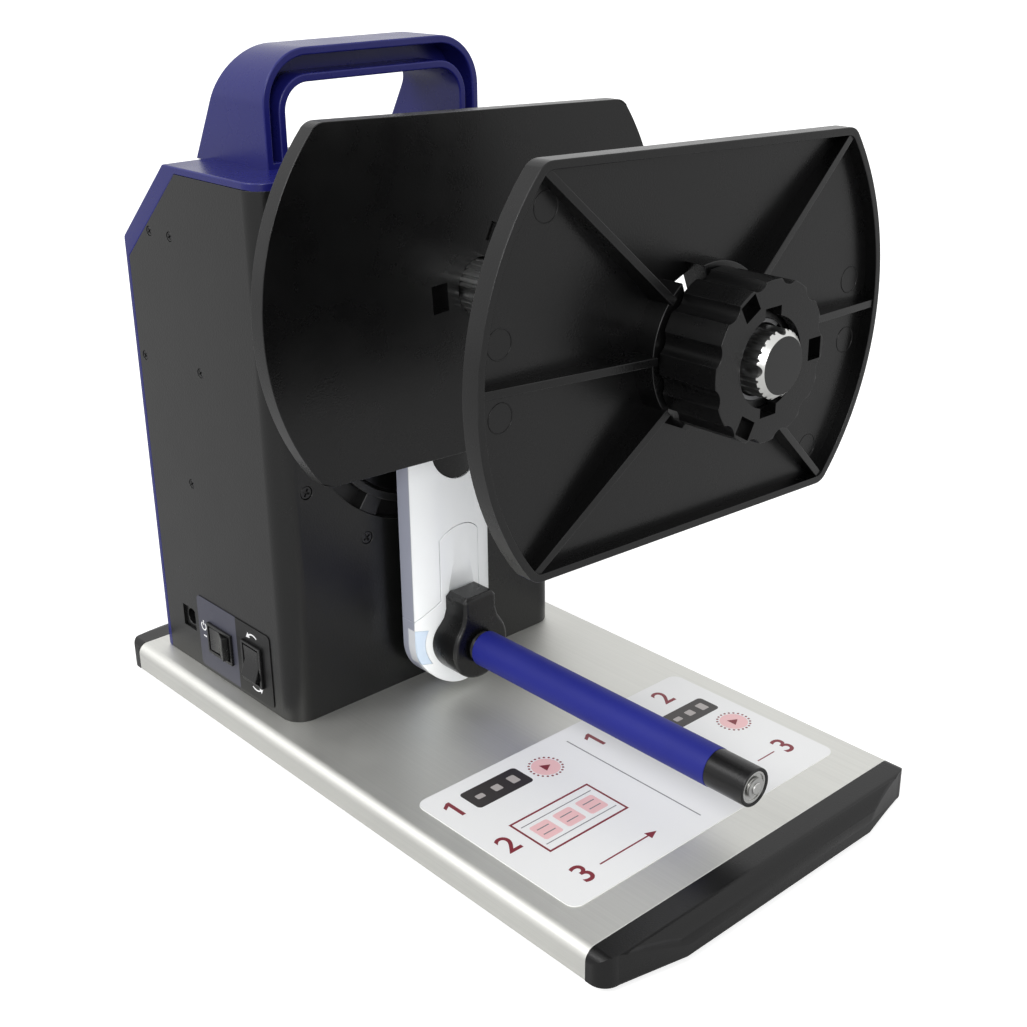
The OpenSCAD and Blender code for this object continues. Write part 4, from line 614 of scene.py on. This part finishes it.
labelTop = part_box("instruction_label")[1].z
labelPrint = {
    "ones": ((-57, -49), (8, -50)), "oneHeight": 9,
    "numerals": (("2", -57, -76), ("3", -50, -103), ("2", 48, -47), ("3", 54, -99)), "numeralSize": 12.5,
    "blocks": ((-38, -49, 25, 11), (47, -61, 22, 10)), "blockCorner": 1.6,
    "square": 3.4, "squareStep": 0.3, "squareCorner": 0.5,
    "discs": ((-17, -51), (54, -76)), "discSize": 6.0, "discInset": 0.8, "dotLift": 0.005,
    "pointer": ((2.2, 0), (-1.4, 2.1), (-1.4, -2.1)),
    "arrow": (-43, -21, -103), "arrowLine": 0.6, "arrowHead": (4, 1.8), "tick": ((44, -99), 9, 0.5),
    "divider": (-44, -107), "dividerLine": 0.5}
strip = {"centre": (-32, -78), "size": (36, 19), "line": 0.8, "web": 6.0, "webInset": 4, "webLine": 0.4,
         "tag": (8, 8.6), "tagStep": 10.4, "tagCorner": 1.0, "text": (5.2, 0.5), "textStep": 1.6}
layers = {ink: newLayer(ink) for ink in ("red", "pink", "grey", "dark", "light")}
for x, y in labelPrint["ones"]:
    tall = labelPrint["oneHeight"]
    plate(layers["red"], [(x + across * tall, y + up * tall) for across, up in digitOne])
for text, x, y in labelPrint["numerals"]:
    numeral(layers["red"], text, (x, y), labelPrint["numeralSize"])
for x, y, width, height in labelPrint["blocks"]:
    slab(layers["dark"], (x, y), width, height, labelPrint["blockCorner"])
    for k in (-1, 0, 1):
        slab(layers["light"], (x + labelPrint["squareStep"] * k * width, y), labelPrint["square"],
             labelPrint["square"] + k, labelPrint["squareCorner"])
for x, y in labelPrint["discs"]:
    plate(layers["pink"], around((x, y), labelPrint["discSize"] - labelPrint["discInset"]))
    plate(layers["red"], [(x + across, y + up) for across, up in labelPrint["pointer"]])

(x, y), (width, height), line = strip["centre"], strip["size"], strip["line"]
for side in (-1, 1):
    slab(layers["red"], (x, y + side * height / 2), width, line)
    slab(layers["red"], (x + side * (width - line) / 2, y), line, height - line)
    slab(layers["grey"], (x, y + side * strip["web"]), width - strip["webInset"], strip["webLine"])
for k in (-1, 0, 1):
    middle = x + strip["tagStep"] * k
    slab(layers["pink"], (middle, y), *strip["tag"], strip["tagCorner"])
    for side in (-1, 1):
        slab(layers["grey"], (middle, y + strip["textStep"] * side), *strip["text"])

(start, end, y), (length, half) = labelPrint["arrow"], labelPrint["arrowHead"]
slab(layers["red"], ((start + end) / 2, y), end - start, labelPrint["arrowLine"])
plate(layers["red"], [(end, y + half), (end, y - half), (end + length, y)])
slab(layers["red"], *labelPrint["tick"])
far, near = labelPrint["divider"]
slab(layers["grey"], (0, (far + near) / 2), labelPrint["dividerLine"], far - near)
for ink, layer in layers.items():
    printed("label_print_" + ink, layer, Matrix.Translation((0, 0, labelTop)), "base", slotOf["instruction_label"])

dotRing, ins, outs = newNodes("dotRing", [
    ("Radius", "Float", 6 * mm), ("Count", "Int", 22), ("Dot", "Float", 0.45 * mm),
    ("Thickness", "Float", 0.05 * mm), ("Seed", "Int", 2)])
loop = put(dotRing, "GeometryNodeMeshCircle", {"Vertices": ins["Count"], "Radius": ins["Radius"]})
dot = put(dotRing, "GeometryNodeMeshCylinder", {"Vertices": 14, "Radius": ins["Dot"], "Depth": ins["Thickness"]})
dots = put(dotRing, "GeometryNodeInstanceOnPoints", {"Points": loop.outputs[0], "Instance": dot.outputs[0]})
endTree(dotRing, ins, outs, onAims(dotRing, ins, dots.outputs[0], 0.3))
thing = grown("label_print_dots", dotRing,
              [((x, y, labelTop / mm + labelPrint["dotLift"]), (0, 0, 1)) for x, y in labelPrint["discs"]],
              {"Radius": labelPrint["discSize"] * mm, "Finish": inkPaint["red"]})
belongs(thing, "base", slotOf["instruction_label"])

panelLow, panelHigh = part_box("switch_panel")
panelMiddle = (panelLow + panelHigh) / 2
onPanel = Matrix(((0, 0, -1, panelLow.x), (-1, 0, 0, panelMiddle.y), (0, 1, 0, panelMiddle.z), (0, 0, 0, 1)))
panelPrint = {"ring": (-21.4, 2.6), "ringSize": 1.6, "ringLine": 0.55, "ringTurn": (125, 415, 32),
              "stem": (1.5, 2.0), "dash": ((-20.9, -1.5), 2.2, 0.6),
              "arrows": ((13.9, 7.4, 55, 125), (13.9, -7.0, 235, 305)), "arrowSize": 4.4, "arrowLine": 0.6}
layer = newLayer("white")
(x, y), line, (stem, length) = panelPrint["ring"], panelPrint["ringLine"], panelPrint["stem"]
bow(layer, (x, y), panelPrint["ringSize"], line, *panelPrint["ringTurn"])
slab(layer, (x, y + stem), line, length)
slab(layer, *panelPrint["dash"])
for x, y, start, end in panelPrint["arrows"]:
    bentArrow(layer, (x, y), panelPrint["arrowSize"], panelPrint["arrowLine"], start, end)
printed("panel_print", layer, onPanel, "base", slotOf["switch_panel"])
print("prints set")

# floor and light: a white tent, with lamps as direction, size in degrees and strength
studio = {"floor": 12.0, "glow": 0.7, "ambient": 0.75, "mirrored": 0.95,
          "paper": {"colour": (0.6, 0.6, 0.6), "rough": 0.8, "grain": 60.0, "lift": 0.02, "drift": 0.01,
                    "specular": 0.1},
          "lamps": {"keyLight": ((-0.7, 0.25, 0.75), 35.0, 1.3), "fillLight": ((-0.55, -0.75, 0.4), 20.0, 1.1)}}
floorMesh = bpy.data.meshes.new("floor")
half = studio["floor"] / 2
floorMesh.from_pydata([(-half, -half, 0), (half, -half, 0), (half, half, 0), (-half, half, 0)], [], [(0, 1, 2, 3)])
floor = show("floor", floorMesh)
floorFinish = newFinish("floor_finish", studio["paper"])
tree = floorFinish.node_tree
shader = tree.nodes["Principled BSDF"]
direct = put(tree, "ShaderNodeLightPath").outputs["Is Camera Ray"]      # the paper burns out to white
tree.links.new(blendColour(tree, direct, (0, 0, 0, 1), (1, 1, 1, 1)), shader.inputs["Emission Color"])
shader.inputs["Emission Strength"].default_value = studio["glow"]
floorMesh.materials.append(floorFinish)

for name, (place, size, power) in studio["lamps"].items():
    lamp = bpy.data.lights.new(name, "SUN")
    lamp.angle, lamp.energy = math.radians(size), power
    light = bpy.data.objects.new(name, lamp)
    light.matrix_world = (-Vector(place)).to_track_quat("-Z", "Y").to_matrix().to_4x4()
    bpy.context.scene.collection.objects.link(light)
world = bpy.data.worlds.new("studioWorld")
world.use_nodes = True
tree = world.node_tree
path = put(tree, "ShaderNodeLightPath").outputs
mirrored = sums(tree, "MULTIPLY", path["Is Glossy Ray"], studio["mirrored"])
level = sums(tree, "MAXIMUM", sums(tree, "MAXIMUM", path["Is Camera Ray"], mirrored), studio["ambient"])
shade = tree.nodes["Background"]
shade.inputs["Color"].default_value = (1, 1, 1, 1)
tree.links.new(level, shade.inputs["Strength"])
bpy.context.scene.world = world
print("floor and light set")
